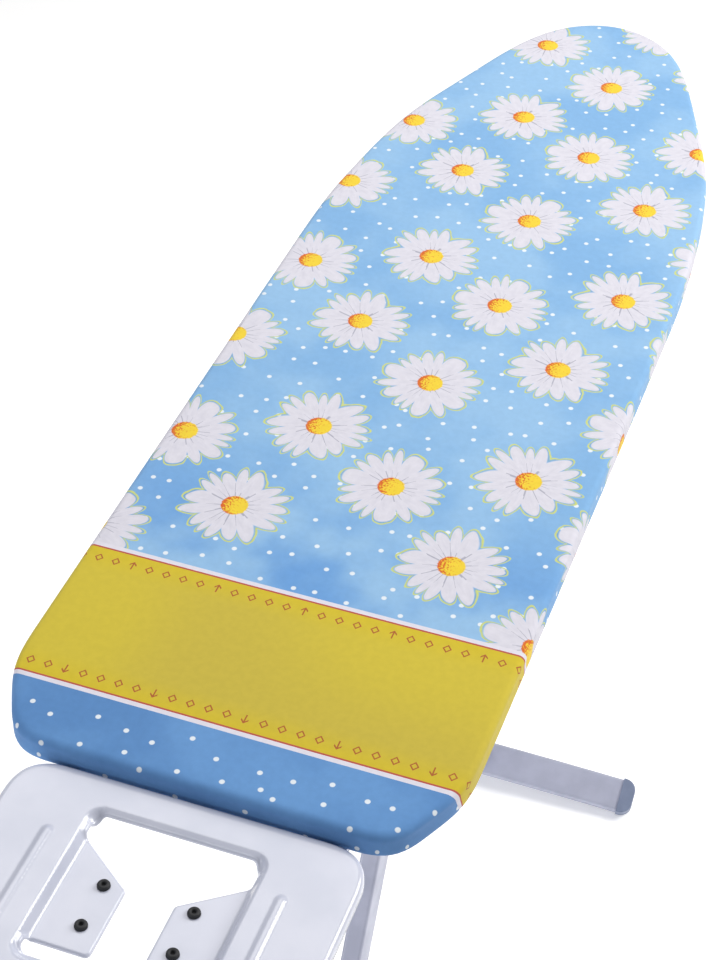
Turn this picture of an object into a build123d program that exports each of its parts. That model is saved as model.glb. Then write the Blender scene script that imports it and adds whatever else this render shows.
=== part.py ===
from build123d import *
import math
import os

# Ironing board: padded board with an iron rest, on a folding crossed-leg frame.
# Millimetres. X runs across the board, +Y points to the nose, +Z is up.
# The origin is on the floor, under the middle of the whole object.

os.makedirs("parts", exist_ok=True)

# Overall sizes
board_length = 1210.0
board_width = 380.0
work_height = 850.0
rest_length = 210.0
rest_gap = 1.5

# Board outline, given as insets from the widest half-width and distances from each end
rear_corner_radius = 36.0
rear_corner_inset = 60.0
rear_taper_angle = 64.0
knee_from_rear = 62.0
knee_inset = 8.0
flank_from_rear = 130.0
flank_inset = 3.0
widest_back = 520.0
taper_back = 390.0
taper_inset = 6.0
shoulder_back = 277.0
shoulder_inset = 23.0
nose_side_back = 160.0
nose_side_inset = 62.0
nose_turn_back = 76.0
nose_turn_inset = 95.0
nose_tip_back = 18.0
nose_tip_inset = 139.0

# Board layers
cover_thickness = 1.0
cover_roll = 5.0
hem_width = 30.0
elastic_width = 6.0
elastic_thickness = 1.6
elastic_from_hem_edge = 2.0
soft_gap = 0.2
padding_thickness = 5.0
padding_edge_round = 4.0
panel_thickness = 0.8
panel_inset = 1.5
steam_hole_radius = 6.0
steam_hole_pitch = 58.0
rim_height = 16.0
rim_width = 14.0
rim_wall = 1.0

# Cross beams and slide rails
beam_width = 40.0
beam_wall = 1.2
beam_lip = 10.0
rail_spacing = 100.0
rail_wall = 2.0
rail_flange = 22.0
rail_below_pivot = 20.0
rail_end_margin = 32.0
rear_beam_from_rear = 85.0
nose_beam_back = 230.0
screw_radius = 3.0
screw_head_radius = 5.5
screw_head_height = 3.0

# Folding frame
pivot_below_top = 66.0
pivot_from_rear = 366.0
leg_angle = 60.0
upper_arm = 198.0
raise_angle = 8.0
fold_angle = 55.0
tube_width = 20.0
tube_depth = 38.0
tube_wall = 1.2
tube_corner = 3.0
tube_past_pivot = 18.0
leg_side_gap = 3.0
running_clearance = 0.05
seat_clearance = 0.02
side_clearance = 0.5

# Axles, bolt and rod
axle_radius = 6.0
sleeve_radius = 9.0
axle_cap_radius = 10.0
axle_cap_length = 5.0
axle_cap_edge = 1.5
bolt_radius = 5.0
bolt_head_radius = 9.0
bolt_head_length = 5.0
bolt_head_round = 2.0
bush_radius = 7.5
bush_flange_radius = 11.0
bush_flange = 1.0
washer_thickness = 2.4
rod_slot_clearance = 0.4
rod_reach = 22.0
spacer_radius = 8.5

# Feet
foot_length = 400.0
bar_depth = 40.0
foot_arch = 8.0
cap_length = 17.0
cap_proud = 1.6
cap_round = 14.0
cap_edge = 1.5
cap_plug_length = 20.0
cap_plug_clearance = 0.2
plug_corner = 2.0
plug_head = 2.0
plug_stem = 6.0
cap_lip_length = 7.0
pad_cut = 2.2

# Height-release lever
lever_thickness = 3.0
lever_offset = 8.0
lever_height = 20.0
lever_tooth = 5.0
lever_tooth_pitch = 24.0
lever_rod_gap = 0.6
lever_pin_radius = 4.0
lever_eye_radius = 9.0
lever_pin_collar = 2.0
lever_pin_head = 2.0
lever_lift = 2.5
handle_reach = 88.0
handle_width = 14.0
grip_length = 44.0
grip_wall = 2.0
grip_clearance = 0.1
spring_radius = 4.0
spring_wire = 0.9
spring_turns = 4.0
spring_margin = 2.0

# Iron rest
rest_width = 281.0
rest_below_top = 15.0
rest_sheet = 1.2
rest_corner_radius = 37.0
rest_edge_depth = 10.0
rest_edge_round = 3.0
recess_width = 141.0
recess_front = 29.0
recess_rear_border = 42.0
recess_depth = 10.0
recess_corner = 11.0
recess_round = 2.5
opening_front_half = 60.0
opening_side_half = 66.0
opening_corner_drop = 14.0
ear_start = 51.0
ear_tip = 85.0
ear_end = 146.0
ear_tip_half = 19.0
ear_round = 5.0
slot_length = 12.0
rib_offset = 91.0
rib_width = 9.0
rib_height = 2.5
rib_round = 2.0
rib_front = 58.0
rib_length = 92.0
bumper_offset = 35.0
bumper_front = 87.0
bumper_spacing = 37.0
bumper_radius = 5.5
bumper_height = 3.5
bumper_hole_radius = 1.8
bumper_edge_round = 1.5
arm_offset = 105.0
arm_width = 20.0
arm_height = 8.0
arm_below_hem = 1.5
arm_rear_margin = 22.0

# Places worked out from the sizes above
nose_y = (board_length + rest_gap + rest_length) / 2
rear_y = nose_y - board_length
half_width = board_width / 2
padding_top = work_height - cover_thickness - soft_gap
padding_bottom = padding_top - padding_thickness
panel_top = padding_bottom - soft_gap
panel_bottom = panel_top - panel_thickness
rim_bottom = panel_bottom - rim_height
hem_top = rim_bottom - soft_gap
hem_bottom = hem_top - cover_thickness
elastic_bottom = hem_bottom - elastic_thickness
body_inset = cover_thickness + soft_gap
rim_inner_inset = body_inset + panel_inset + rim_width

pivot_z = work_height - pivot_below_top
pivot_y = rear_y + pivot_from_rear
cosine = math.cos(math.radians(leg_angle))
sine = math.sin(math.radians(leg_angle))
rod_y = pivot_y + 2 * upper_arm * cosine
cross_y = pivot_y + upper_arm * cosine
cross_z = pivot_z - upper_arm * sine
rod_raised_y = pivot_y + 2 * upper_arm * math.cos(math.radians(leg_angle + raise_angle))
rod_folded_y = pivot_y + 2 * upper_arm * math.cos(math.radians(leg_angle - fold_angle))
rail_half = rail_spacing / 2
rail_start = pivot_y - rail_end_margin
rail_end = rod_folded_y + rail_end_margin
rail_top = rim_bottom
rear_tube_x = tube_width + leg_side_gap
lever_x = rail_half + rail_wall + lever_offset
rod_half = rail_half + rail_wall + rod_reach


def inward(curve, knot, inset):
    """The knot moved square to the curve, towards the board's middle."""
    tangent = curve.tangent_at(Vector(*knot))
    return (knot[0] - inset * tangent.Y, knot[1] + inset * tangent.X)


def board_face(inset):
    """Board outline on the XY plane, moved inward by the inset."""
    taper = math.radians(rear_taper_angle)
    centre = (half_width - rear_corner_inset, rear_y + rear_corner_radius)
    widest = (half_width, nose_y - widest_back)
    flank = [
        (centre[0] + rear_corner_radius * math.sin(taper),
         centre[1] - rear_corner_radius * math.cos(taper)),
        (half_width - knee_inset, rear_y + knee_from_rear),
        (half_width - flank_inset, rear_y + flank_from_rear),
    ]
    headings = [(math.cos(taper), math.sin(taper)), (0, 1)]
    rear_side = Spline(*flank, tangents=headings)
    right = [
        widest,
        (half_width - taper_inset, nose_y - taper_back),
        (half_width - shoulder_inset, nose_y - shoulder_back),
        (half_width - nose_side_inset, nose_y - nose_side_back),
        (half_width - nose_turn_inset, nose_y - nose_turn_back),
        (half_width - nose_tip_inset, nose_y - nose_tip_back),
    ]
    left = [(-x, y) for x, y in reversed(right)]
    knots = right + [(0, nose_y)] + left
    nose = Spline(*knots, tangents=[(0, 1), (0, -1)])
    moved = [inward(nose, knot, inset) for knot in knots]
    nose = Spline(*moved, tangents=[(0, 1), (0, -1)])
    rear_side = Spline(*[inward(rear_side, knot, inset) for knot in flank], tangents=headings)
    side = Spline(rear_side @ 1, moved[0], tangents=[(0, 1), (0, 1)])
    radius = rear_corner_radius - inset
    arc = ThreePointArc(
        rear_side @ 0,
        (centre[0] + radius * math.sin(taper / 2), centre[1] - radius * math.cos(taper / 2)),
        (centre[0], centre[1] - radius),
    )
    rear = Line(arc @ 1, (-centre[0], centre[1] - radius))
    half = [side, rear_side, arc]
    return make_face([nose, rear, *half, *[mirror(curve, about=Plane.YZ) for curve in half]])


def slab(inset, bottom, top):
    """Solid of the board outline between two heights."""
    return extrude(Pos(0, 0, bottom) * board_face(inset), top - bottom)


def block(low, high):
    """Axis-aligned box between two corners."""
    size = [b - a for a, b in zip(low, high)]
    centre = [(a + b) / 2 for a, b in zip(low, high)]
    return Pos(*centre) * Box(*size)


def x_cylinder(radius, x_from, x_to, y, z):
    """Round bar along X."""
    centre = (x_from + x_to) / 2
    return Pos(centre, y, z) * Rot(0, 90, 0) * Cylinder(radius, x_to - x_from)


def x_ring(outer, inner, x_from, x_to, y, z):
    """Round sleeve along X."""
    bore = x_cylinder(inner, x_from - 1, x_to + 1, y, z)
    return x_cylinder(outer, x_from, x_to, y, z) - bore


def save(shape, node):
    export_step(Compound(children=list(shape.solids())) if len(shape.solids()) > 1
                else shape.solids()[0], f"parts/{node}.step")


# Board layers

def make_cover():
    outer = slab(0, hem_bottom, work_height)
    top_edges = outer.edges().group_by(Axis.Z)[-1]
    outer = fillet(top_edges, cover_roll)
    inner = slab(cover_thickness, hem_top, work_height - cover_thickness)
    inner = fillet(inner.edges().group_by(Axis.Z)[-1], cover_roll - cover_thickness)
    mouth = slab(cover_thickness + hem_width, hem_bottom - 1, hem_top + 1)
    return outer - inner - mouth


def make_hem_elastic():
    outer_inset = cover_thickness + hem_width - elastic_width - elastic_from_hem_edge
    ring = slab(outer_inset, elastic_bottom, hem_bottom)
    return ring - slab(outer_inset + elastic_width, elastic_bottom - 1, hem_bottom + 1)


def make_padding():
    pad = slab(body_inset, padding_bottom, padding_top)
    return fillet(pad.edges().group_by(Axis.Z)[-1], padding_edge_round)


def steam_holes():
    rows = int(board_length // steam_hole_pitch) - 2
    columns = int((board_width / 2 - rim_width - steam_hole_radius) // steam_hole_pitch)
    first = rear_y + steam_hole_pitch
    holes = []
    for row in range(rows):
        y = first + row * steam_hole_pitch
        shift = (row % 2) * steam_hole_pitch / 2
        for column in range(-columns, columns + 1):
            x = column * steam_hole_pitch + shift
            holes.append(Pos(x, y) * Circle(steam_hole_radius))
    margin = rim_width + steam_hole_radius + panel_inset
    field = board_face(margin + steam_hole_radius)
    kept = [hole for hole in holes if field.face().is_inside(hole.center())]
    return kept


def make_panel():
    panel = slab(body_inset, panel_bottom, panel_top)
    depth = panel_thickness + 2
    cuts = [extrude(Pos(0, 0, panel_bottom - 1) * hole, depth) for hole in steam_holes()]
    return panel - cuts


def make_rim():
    """Pressed channel that opens towards the middle of the board."""
    inset = body_inset + panel_inset
    outer = slab(inset, rim_bottom, panel_bottom)
    channel = slab(inset + rim_wall, rim_bottom + rim_wall, panel_bottom - rim_wall)
    middle = slab(inset + rim_width, rim_bottom - 1, panel_bottom + 1)
    return outer - channel - middle


def make_beam(y):
    """Hat-section cross beam under the panel, trimmed to meet the rim."""
    half = beam_width / 2
    reach = half_width + 1
    outer = block((-reach, y - half, rim_bottom), (reach, y + half, panel_bottom))
    web = half - beam_lip
    hollow = block((-reach, y - web + beam_wall, rim_bottom + beam_wall),
                   (reach, y + web - beam_wall, panel_bottom + 1))
    front = block((-reach, y + web, rim_bottom - 1), (reach, y + half + 1, panel_bottom - beam_wall))
    back = block((-reach, y - half - 1, rim_bottom - 1), (reach, y - web, panel_bottom - beam_wall))
    trim = slab(rim_inner_inset, rim_bottom - 1, panel_bottom + 1)
    return (outer - hollow - front - back) & trim


rear_beam_y = rear_y + rear_beam_from_rear
pivot_beam_y = pivot_y
front_beam_y = rail_end - beam_width / 2
nose_beam_y = nose_y - nose_beam_back

save(make_cover(), "cover")
save(make_hem_elastic(), "hem_elastic")
save(make_padding(), "padding")
save(make_panel(), "board_panel")
save(make_rim(), "rim_frame")
save(make_beam(rear_beam_y), "rear_beam")
save(make_beam(pivot_beam_y), "pivot_beam")
save(make_beam(front_beam_y), "front_beam")
save(make_beam(nose_beam_y), "nose_beam")


# Slide rails

lever_pin_y = rail_end - lever_eye_radius
lever_pin_z = pivot_z + axle_radius + lever_rod_gap + lever_height / 2


def screw_x(side):
    return side * (rail_half - rail_flange / 2)


def make_rail(side):
    """Angle-section rail with the axle hole and the rod's slot."""
    inner = side * rail_half
    outer = side * (rail_half + rail_wall)
    low_x, high_x = sorted((inner, outer))
    web = block((low_x, rail_start, pivot_z - rail_below_pivot), (high_x, rail_end, rail_top))
    flange_x = sorted((inner - side * rail_flange, outer))
    flange = block((flange_x[0], rail_start, rail_top - rail_wall),
                   (flange_x[1], rail_end, rail_top))
    axle_hole = x_cylinder(axle_radius + seat_clearance, low_x - 1, high_x + 1, pivot_y, pivot_z)
    slot_radius = axle_radius + rod_slot_clearance
    slot = block((low_x - 1, rod_raised_y, pivot_z - slot_radius),
                 (high_x + 1, rod_folded_y, pivot_z + slot_radius))
    slot += x_cylinder(slot_radius, low_x - 1, high_x + 1, rod_raised_y, pivot_z)
    slot += x_cylinder(slot_radius, low_x - 1, high_x + 1, rod_folded_y, pivot_z)
    rail = web + flange - axle_hole - slot
    if side > 0:
        rail -= x_cylinder(lever_pin_radius + seat_clearance, low_x - 1, high_x + 1,
                           lever_pin_y, lever_pin_z)
    for y in (pivot_beam_y, front_beam_y):
        rail -= Pos(screw_x(side), y, rail_top) * Cylinder(screw_radius + seat_clearance,
                                                           2 * rail_wall + 2)
    return rail


def screw_up(x, y, seat, length):
    """Pan-head screw driven upward, its head under the seat."""
    shank = Pos(x, y, seat + length / 2) * Cylinder(screw_radius, length)
    head = Pos(x, y, seat - screw_head_height / 2) * Cylinder(screw_head_radius, screw_head_height)
    head = fillet(head.edges().group_by(Axis.Z)[0], screw_head_height / 3)
    return head + shank


def make_rail_screws():
    seat = rail_top - rail_wall
    return Compound(children=[screw_up(screw_x(side), y, seat, rail_wall)
                              for side in (-1, 1) for y in (pivot_beam_y, front_beam_y)])


save(make_rail(-1), "rail_left")
save(make_rail(1), "rail_right")
save(make_rail_screws(), "rail_screws")

axle_half = rail_half + rail_wall + axle_cap_length
save(x_cylinder(axle_radius, -axle_half, axle_half, pivot_y, pivot_z), "top_axle")


def end_caps(reach, y, seat):
    """A push-on cap at each end of a rod."""
    caps = []
    for side in (-1, 1):
        low_x, high_x = sorted((side * seat, side * (reach + 1)))
        cap = x_cylinder(axle_cap_radius, low_x, high_x, y, pivot_z)
        cap = fillet(cap.edges().sort_by(Axis.X)[-1 if side > 0 else 0], axle_cap_edge)
        hole = sorted((side * (seat - 1), side * reach))
        caps.append(cap - x_cylinder(axle_radius, hole[0], hole[1], y, pivot_z))
    return Compound(children=caps)


save(end_caps(axle_half, pivot_y, rail_half + rail_wall), "top_axle_caps")


# Folding frame

def foot_plane(lean):
    """Plane at the origin whose Z runs up the leg; lean is +1 when the leg rises to the nose."""
    return Plane(origin=(0, 0, 0), x_dir=(1, 0, 0), z_dir=(0, lean * cosine, sine))


bar_half = foot_length / 2 - cap_length
bar_radius = (bar_half ** 2 + foot_arch ** 2) / (2 * foot_arch)
bar_turn = math.degrees(math.asin(bar_half / bar_radius))
bar_axis = Axis((0, 0, -bar_radius), (0, 1, 0))


def bar_solid(shrink):
    """Arched foot bar, centred on the leg's foot, or its bore when shrunk by the wall."""
    section = Plane.YZ * RectangleRounded(bar_depth - 2 * shrink, tube_width - 2 * shrink,
                                          tube_corner - min(shrink, tube_corner - 1))
    swept = revolve(section, bar_axis, 2 * bar_turn)
    return swept.rotate(bar_axis, -bar_turn)


def cap_solid(side):
    """End cap: a rounded head, a plug inside the bar and a lip under it."""
    depth = bar_depth + 2 * cap_proud
    height = tube_width + 2 * cap_proud
    outline = Pos(cap_length / 2, 0) * Rectangle(cap_length, depth)
    outline = fillet(outline.vertices().group_by(Axis.X)[-1], cap_round)
    head = extrude(outline, height / 2, both=True)
    head = fillet(head.edges().filter_by(lambda e: e.center().X > 1), cap_edge)
    lip = block((-cap_lip_length, -depth / 2 + cap_round / 2, -height / 2),
                (0, depth / 2 - cap_round / 2, -tube_width / 2 - seat_clearance))
    inset = tube_wall + cap_plug_clearance
    plug = block((-cap_plug_length, -bar_depth / 2 + inset, -tube_width / 2 + inset),
                 (0, bar_depth / 2 - inset, tube_width / 2 - inset))
    plug = fillet(plug.edges().filter_by(Axis.X), plug_corner)
    cap = (head + lip + plug).rotate(bar_axis, bar_turn)
    return cap if side > 0 else mirror(cap, about=Plane.YZ)


def place(shape, lean, y, z):
    return Pos(0, y, z) * (foot_plane(lean).location * shape)


foot_drop = -place(cap_solid(1), 1, 0, 0).bounding_box().min.Z
foot_z = foot_drop - pad_cut
leg_length = (pivot_z - foot_z) / sine
front_foot_y = pivot_y + leg_length * cosine
rear_foot_y = rod_y - leg_length * cosine
floor_cut = block((-foot_length, -2 * board_length, -bar_depth), (foot_length, 2 * board_length, 0))


def leg_tube(x, lean, y):
    """Rectangular leg tube from its saddle on the foot bar to just past its top pivot."""
    plane = Plane(origin=(x, y, foot_z), x_dir=(1, 0, 0), z_dir=(0, lean * cosine, sine))
    outer = RectangleRounded(tube_width, tube_depth, tube_corner)
    inner = RectangleRounded(tube_width - 2 * tube_wall, tube_depth - 2 * tube_wall,
                             tube_corner - tube_wall)
    start = tube_width / 2 - tube_corner
    tube = extrude(plane.offset(start) * (outer - inner), leg_length + tube_past_pivot - start)
    tube -= place(bar_solid(0), lean, y, foot_z)
    return tube.solids().sort_by(SortBy.VOLUME)[-1]


def leg_plug(x, lean, y, z):
    """Plastic plug closing a tube's top end."""
    plane = Plane(origin=(x, y, z), x_dir=(1, 0, 0), z_dir=(0, lean * cosine, sine))
    outline = RectangleRounded(tube_width, tube_depth, tube_corner)
    head = extrude(plane.offset(tube_past_pivot) * outline, plug_head)
    inset = 2 * (tube_wall + cap_plug_clearance)
    bore = RectangleRounded(tube_width - inset, tube_depth - inset, plug_corner)
    stem = extrude(plane.offset(tube_past_pivot - plug_stem) * bore, plug_stem)
    return head + stem


front_lean = -1
rear_lean = 1
sleeve_half = rail_half - side_clearance
bolt_hole = bolt_radius + seat_clearance
stack_half = rear_tube_x + tube_width / 2 + bush_flange

front_tube = leg_tube(0, front_lean, front_foot_y)
front_tube -= x_cylinder(sleeve_radius + seat_clearance, -tube_width, tube_width, pivot_y, pivot_z)
front_tube -= x_cylinder(bolt_hole, -tube_width, tube_width, cross_y, cross_z)
save(front_tube, "front_leg_tube")
save(leg_plug(0, front_lean, pivot_y, pivot_z), "front_leg_plug")
save(x_ring(sleeve_radius, axle_radius + running_clearance, -sleeve_half, sleeve_half,
            pivot_y, pivot_z), "front_leg_sleeve")

for name, side in (("left", -1), ("right", 1)):
    rear_tube = leg_tube(side * rear_tube_x, rear_lean, rear_foot_y)
    rear_tube -= x_cylinder(axle_radius + seat_clearance, -rod_half, rod_half, rod_y, pivot_z)
    rear_tube -= x_cylinder(bush_radius + seat_clearance, -rod_half, rod_half, cross_y, cross_z)
    save(rear_tube, f"rear_leg_tube_{name}")
save(Compound(children=[leg_plug(side * rear_tube_x, rear_lean, rod_y, pivot_z)
                        for side in (-1, 1)]), "rear_leg_plugs")

bar = bar_solid(0) - bar_solid(tube_wall)
for leg, lean, y in (("front", front_lean, front_foot_y), ("rear", rear_lean, rear_foot_y)):
    save(place(bar, lean, y, foot_z), f"{leg}_foot_bar")
    for name, side in (("left", -1), ("right", 1)):
        cap = place(cap_solid(side), lean, y, foot_z) - floor_cut
        save(cap, f"{leg}_foot_cap_{name}")

# Cross pivot: bolt and nut turn with the front leg, bushes sit in the rear leg's tubes
bolt_half = stack_half + side_clearance
bolt = x_cylinder(bolt_radius, -bolt_half - bolt_head_length, bolt_half, cross_y, cross_z)
bolt_head = x_cylinder(bolt_head_radius, bolt_half, bolt_half + bolt_head_length, cross_y, cross_z)
bolt_head = fillet(bolt_head.edges().sort_by(Axis.X)[-1], bolt_head_round)
save(bolt + bolt_head, "cross_bolt")
nut_plane = Plane(origin=(-bolt_half - bolt_head_length, cross_y, cross_z), x_dir=(0, 1, 0),
                  z_dir=(1, 0, 0))
nut = extrude(nut_plane * RegularPolygon(bolt_head_radius, 6), bolt_head_length)
save(nut - x_cylinder(bolt_radius, -rod_half, 0, cross_y, cross_z), "cross_nut")

bushes = []
washers = []
for side in (-1, 1):
    tube_in = side * (rear_tube_x - tube_width / 2)
    tube_out = side * (rear_tube_x + tube_width / 2)
    ends = sorted((tube_in, tube_out))
    bush = x_cylinder(bush_radius, ends[0], ends[1], cross_y, cross_z)
    flange = sorted((tube_out, tube_out + side * bush_flange))
    bush += x_cylinder(bush_flange_radius, flange[0], flange[1], cross_y, cross_z)
    bushes.append(bush - x_cylinder(bolt_radius + running_clearance, -rod_half, rod_half,
                                    cross_y, cross_z))
    washer = sorted((side * tube_width / 2, side * (tube_width / 2 + washer_thickness)))
    washers.append(x_ring(bush_flange_radius, bolt_hole, washer[0], washer[1], cross_y, cross_z))
save(Compound(children=bushes), "cross_bushes")
save(Compound(children=washers), "cross_washers")

# Slide rod: joins the two rear tubes at the top and runs in the rails' slots
save(x_cylinder(axle_radius, -rod_half, rod_half, rod_y, pivot_z), "slide_rod")
save(end_caps(rod_half, rod_y, rod_half - axle_cap_length), "slide_rod_caps")
inner_end = rear_tube_x - tube_width / 2
outer_end = rear_tube_x + tube_width / 2
spacers = [x_ring(spacer_radius, axle_radius + seat_clearance, -inner_end, inner_end,
                  rod_y, pivot_z)]
for side in (-1, 1):
    ends = sorted((side * outer_end, side * sleeve_half))
    spacers.append(x_ring(spacer_radius, axle_radius + seat_clearance, ends[0], ends[1],
                          rod_y, pivot_z))
save(Compound(children=spacers), "slide_rod_spacers")


# Release lever

lever_bottom = pivot_z + axle_radius + lever_rod_gap
lever_top = lever_bottom + lever_height
lever_rear = rod_raised_y - 2 * axle_cap_radius
handle_y = lever_rear + handle_width / 2
handle_x = lever_x + handle_reach


def make_lever():
    """Toothed catch plate beside the right rail, with a handle arm reaching outward."""
    plate = block((lever_x, lever_rear, lever_bottom),
                  (lever_x + lever_thickness, lever_pin_y, lever_top))
    plate += x_cylinder(lever_eye_radius, lever_x, lever_x + lever_thickness,
                        lever_pin_y, lever_pin_z)
    count = int((rod_folded_y - rod_y) // lever_tooth_pitch) + 1
    for index in range(count):
        y = rod_y + index * lever_tooth_pitch
        plate -= x_cylinder(axle_radius + rod_slot_clearance, lever_x - 1,
                            lever_x + lever_thickness + 1, y, lever_bottom - 1)
    plate -= x_cylinder(lever_pin_radius + running_clearance, lever_x - 1,
                        lever_x + lever_thickness + 1, lever_pin_y, lever_pin_z)
    arm_top = lever_bottom + lever_tooth + lever_thickness
    arm = block((lever_x, lever_rear, arm_top - lever_thickness),
                (handle_x, lever_rear + handle_width, arm_top))
    return plate + arm


def make_grip():
    arm_top = lever_bottom + lever_tooth + lever_thickness
    middle = arm_top - lever_thickness / 2
    wide = handle_width + 2 * (grip_wall + grip_clearance)
    tall = lever_thickness + 2 * (grip_wall + grip_clearance)
    grip = block((handle_x - grip_length, handle_y - wide / 2, middle - tall / 2),
                 (handle_x + grip_wall, handle_y + wide / 2, middle + tall / 2))
    grip = fillet(grip.edges().filter_by(Axis.X), grip_wall)
    pocket_wide = handle_width / 2 + grip_clearance
    pocket_tall = lever_thickness / 2 + grip_clearance
    pocket = block((handle_x - grip_length - 1, handle_y - pocket_wide, middle - pocket_tall),
                   (handle_x, handle_y + pocket_wide, middle + pocket_tall))
    return grip - pocket


def make_lever_pin():
    reach = lever_x + lever_thickness + side_clearance
    pin = x_cylinder(lever_pin_radius, rail_half, reach, lever_pin_y, lever_pin_z)
    collar = x_ring(lever_pin_radius + lever_pin_collar, lever_pin_radius, rail_half + rail_wall,
                    lever_x - side_clearance, lever_pin_y, lever_pin_z)
    head = x_cylinder(lever_pin_radius + lever_pin_collar, reach, reach + lever_pin_head,
                      lever_pin_y, lever_pin_z)
    return pin + collar + head


spring_y = lever_rear + 2 * handle_width
spring_x = lever_x + lever_thickness / 2


def make_lever_spring():
    height = rim_bottom - lever_top - spring_wire
    path = Helix(height / spring_turns, height, spring_radius)
    section = Plane(origin=path @ 0, z_dir=path % 0) * Circle(spring_wire / 2)
    return Pos(spring_x, spring_y, lever_top + spring_wire / 2) * sweep(section, path)


def make_spring_bracket():
    """Tab from the right rail that the return spring pushes against."""
    half = spring_radius + spring_margin
    reach = spring_x + half
    return block((rail_half + rail_wall - rail_flange, spring_y - half, rim_bottom),
                 (reach, spring_y + half, rim_bottom + rail_wall))


save(make_lever(), "release_lever")
save(make_grip(), "lever_grip")
save(make_lever_pin(), "lever_pin")
save(make_lever_spring(), "lever_spring")
save(make_spring_bracket(), "spring_bracket")


# Iron rest

rest_front = rear_y - rest_gap
rest_top = work_height - rest_below_top
rest_centre = rest_front - rest_length / 2
recess_length = rest_length - recess_front - recess_rear_border
recess_centre = rest_front - recess_front - recess_length / 2
recess_floor = rest_top - recess_depth


def rest_block(inset, low, high):
    shape = RectangleRounded(rest_width - 2 * inset, rest_length - 2 * inset,
                             rest_corner_radius - inset)
    return extrude(Pos(0, rest_centre, low) * shape, high - low)


def recess_block(inset, low, high):
    shape = RectangleRounded(recess_width - 2 * inset, recess_length - 2 * inset,
                             recess_corner - inset)
    return extrude(Pos(0, recess_centre, low) * shape, high - low)


def rest_opening():
    """Waisted opening between the two ears, as seen from above."""
    front = rest_front - recess_front - rest_sheet - 1
    slot_end = rest_front - ear_end - slot_length
    right = [
        (0, front),
        (opening_front_half, front),
        (opening_side_half, rest_front - recess_front - opening_corner_drop),
        (opening_side_half, rest_front - ear_start),
        (ear_tip_half, rest_front - ear_tip),
        (ear_tip_half, rest_front - ear_end),
        (opening_side_half, rest_front - ear_end),
        (opening_side_half, slot_end),
        (0, slot_end),
    ]
    half = make_face(Polyline(*right, close=True))
    whole = half + mirror(half, about=Plane.YZ)
    corners = [v for v in whole.vertices() if abs(v.X) > 1]
    return fillet(corners, ear_round)


def rib_block(side, grow, low, high):
    shape = SlotOverall(rib_length - 2 * grow, rib_width - 2 * grow, rotation=90)
    y = rest_front - rib_front - rib_length / 2
    return extrude(Pos(side * rib_offset, y, low) * shape, high - low)


def make_rest_plate():
    """Pressed sheet: turned-down edge, sunk centre with ears, and a raised rib each side."""
    outer = rest_block(0, rest_top - rest_edge_depth, rest_top)
    outer = fillet(outer.edges().group_by(Axis.Z)[-1], rest_edge_round)
    inner = rest_block(rest_sheet, rest_top - rest_edge_depth - 1, rest_top - rest_sheet)
    inner = fillet(inner.edges().group_by(Axis.Z)[-1], rest_edge_round - rest_sheet)
    plate = outer - inner
    for side in (-1, 1):
        rib = rib_block(side, 0, rest_top - rest_sheet / 2, rest_top + rib_height)
        rib = fillet(rib.edges().group_by(Axis.Z)[-1], rib_round)
        plate += rib
    plate += recess_block(0, recess_floor - rest_sheet, rest_top - rest_sheet / 2)
    tub = recess_block(rest_sheet, recess_floor, rest_top + 1)
    tub = fillet(tub.edges().group_by(Axis.Z)[0], recess_round)
    plate -= tub
    for side in (-1, 1):
        plate -= rib_block(side, rest_sheet, rest_top - rest_edge_depth,
                           rest_top + rib_height - rest_sheet)
        for index in range(2):
            x = side * bumper_offset
            y = rest_front - bumper_front - index * bumper_spacing
            plate -= Pos(x, y, recess_floor) * Cylinder(bumper_radius / 2, 4 * rest_sheet)
    opening = Pos(0, 0, recess_floor - 2 * rest_sheet) * rest_opening()
    return plate - extrude(opening, recess_depth)


def make_bumpers():
    """Rubber buttons pushed into the ears; the iron stands on them."""
    solids = []
    for side in (-1, 1):
        for index in range(2):
            x = side * bumper_offset
            y = rest_front - bumper_front - index * bumper_spacing
            head = Pos(x, y, recess_floor + bumper_height / 2) * Cylinder(bumper_radius,
                                                                         bumper_height)
            head = fillet(head.edges().group_by(Axis.Z)[-1], bumper_edge_round)
            stem = Pos(x, y, recess_floor - rest_sheet) * Cylinder(bumper_radius / 2 - running_clearance,
                                                                   2 * rest_sheet)
            hole = Pos(x, y, recess_floor + bumper_height) * Cylinder(bumper_hole_radius,
                                                                     bumper_height)
            solids.append(head + stem - hole)
    return Compound(children=solids)


arm_top = elastic_bottom - arm_below_hem
arm_bottom = arm_top - arm_height
arm_rear = rest_front - rest_length + arm_rear_margin
arm_front = rear_beam_y + beam_width / 2


def make_arm(side):
    """Support arm from the rear beam to the iron rest, with an upright at each end."""
    low_x = side * arm_offset - arm_width / 2
    high_x = side * arm_offset + arm_width / 2
    arm = block((low_x, arm_rear, arm_bottom), (high_x, arm_front, arm_top))
    for y in (arm_rear, rest_front - arm_rear_margin - arm_width):
        arm += block((low_x, y, arm_top - 1), (high_x, y + arm_width, rest_top - rest_sheet))
    web = beam_width / 2 - beam_lip
    arm += block((low_x, rear_beam_y - web, arm_top - 1), (high_x, rear_beam_y + web, rim_bottom))
    return arm - Pos(side * arm_offset, rear_beam_y, arm_bottom) * Cylinder(
        screw_radius + seat_clearance, 4 * arm_height)


save(make_rest_plate(), "iron_rest_plate")
save(make_bumpers(), "rest_bumpers")
save(make_arm(-1), "rest_arm_left")
save(make_arm(1), "rest_arm_right")
save(Compound(children=[screw_up(side * arm_offset, rear_beam_y, arm_bottom, rim_bottom - arm_bottom)
                        for side in (-1, 1)]), "rest_arm_screws")

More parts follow.
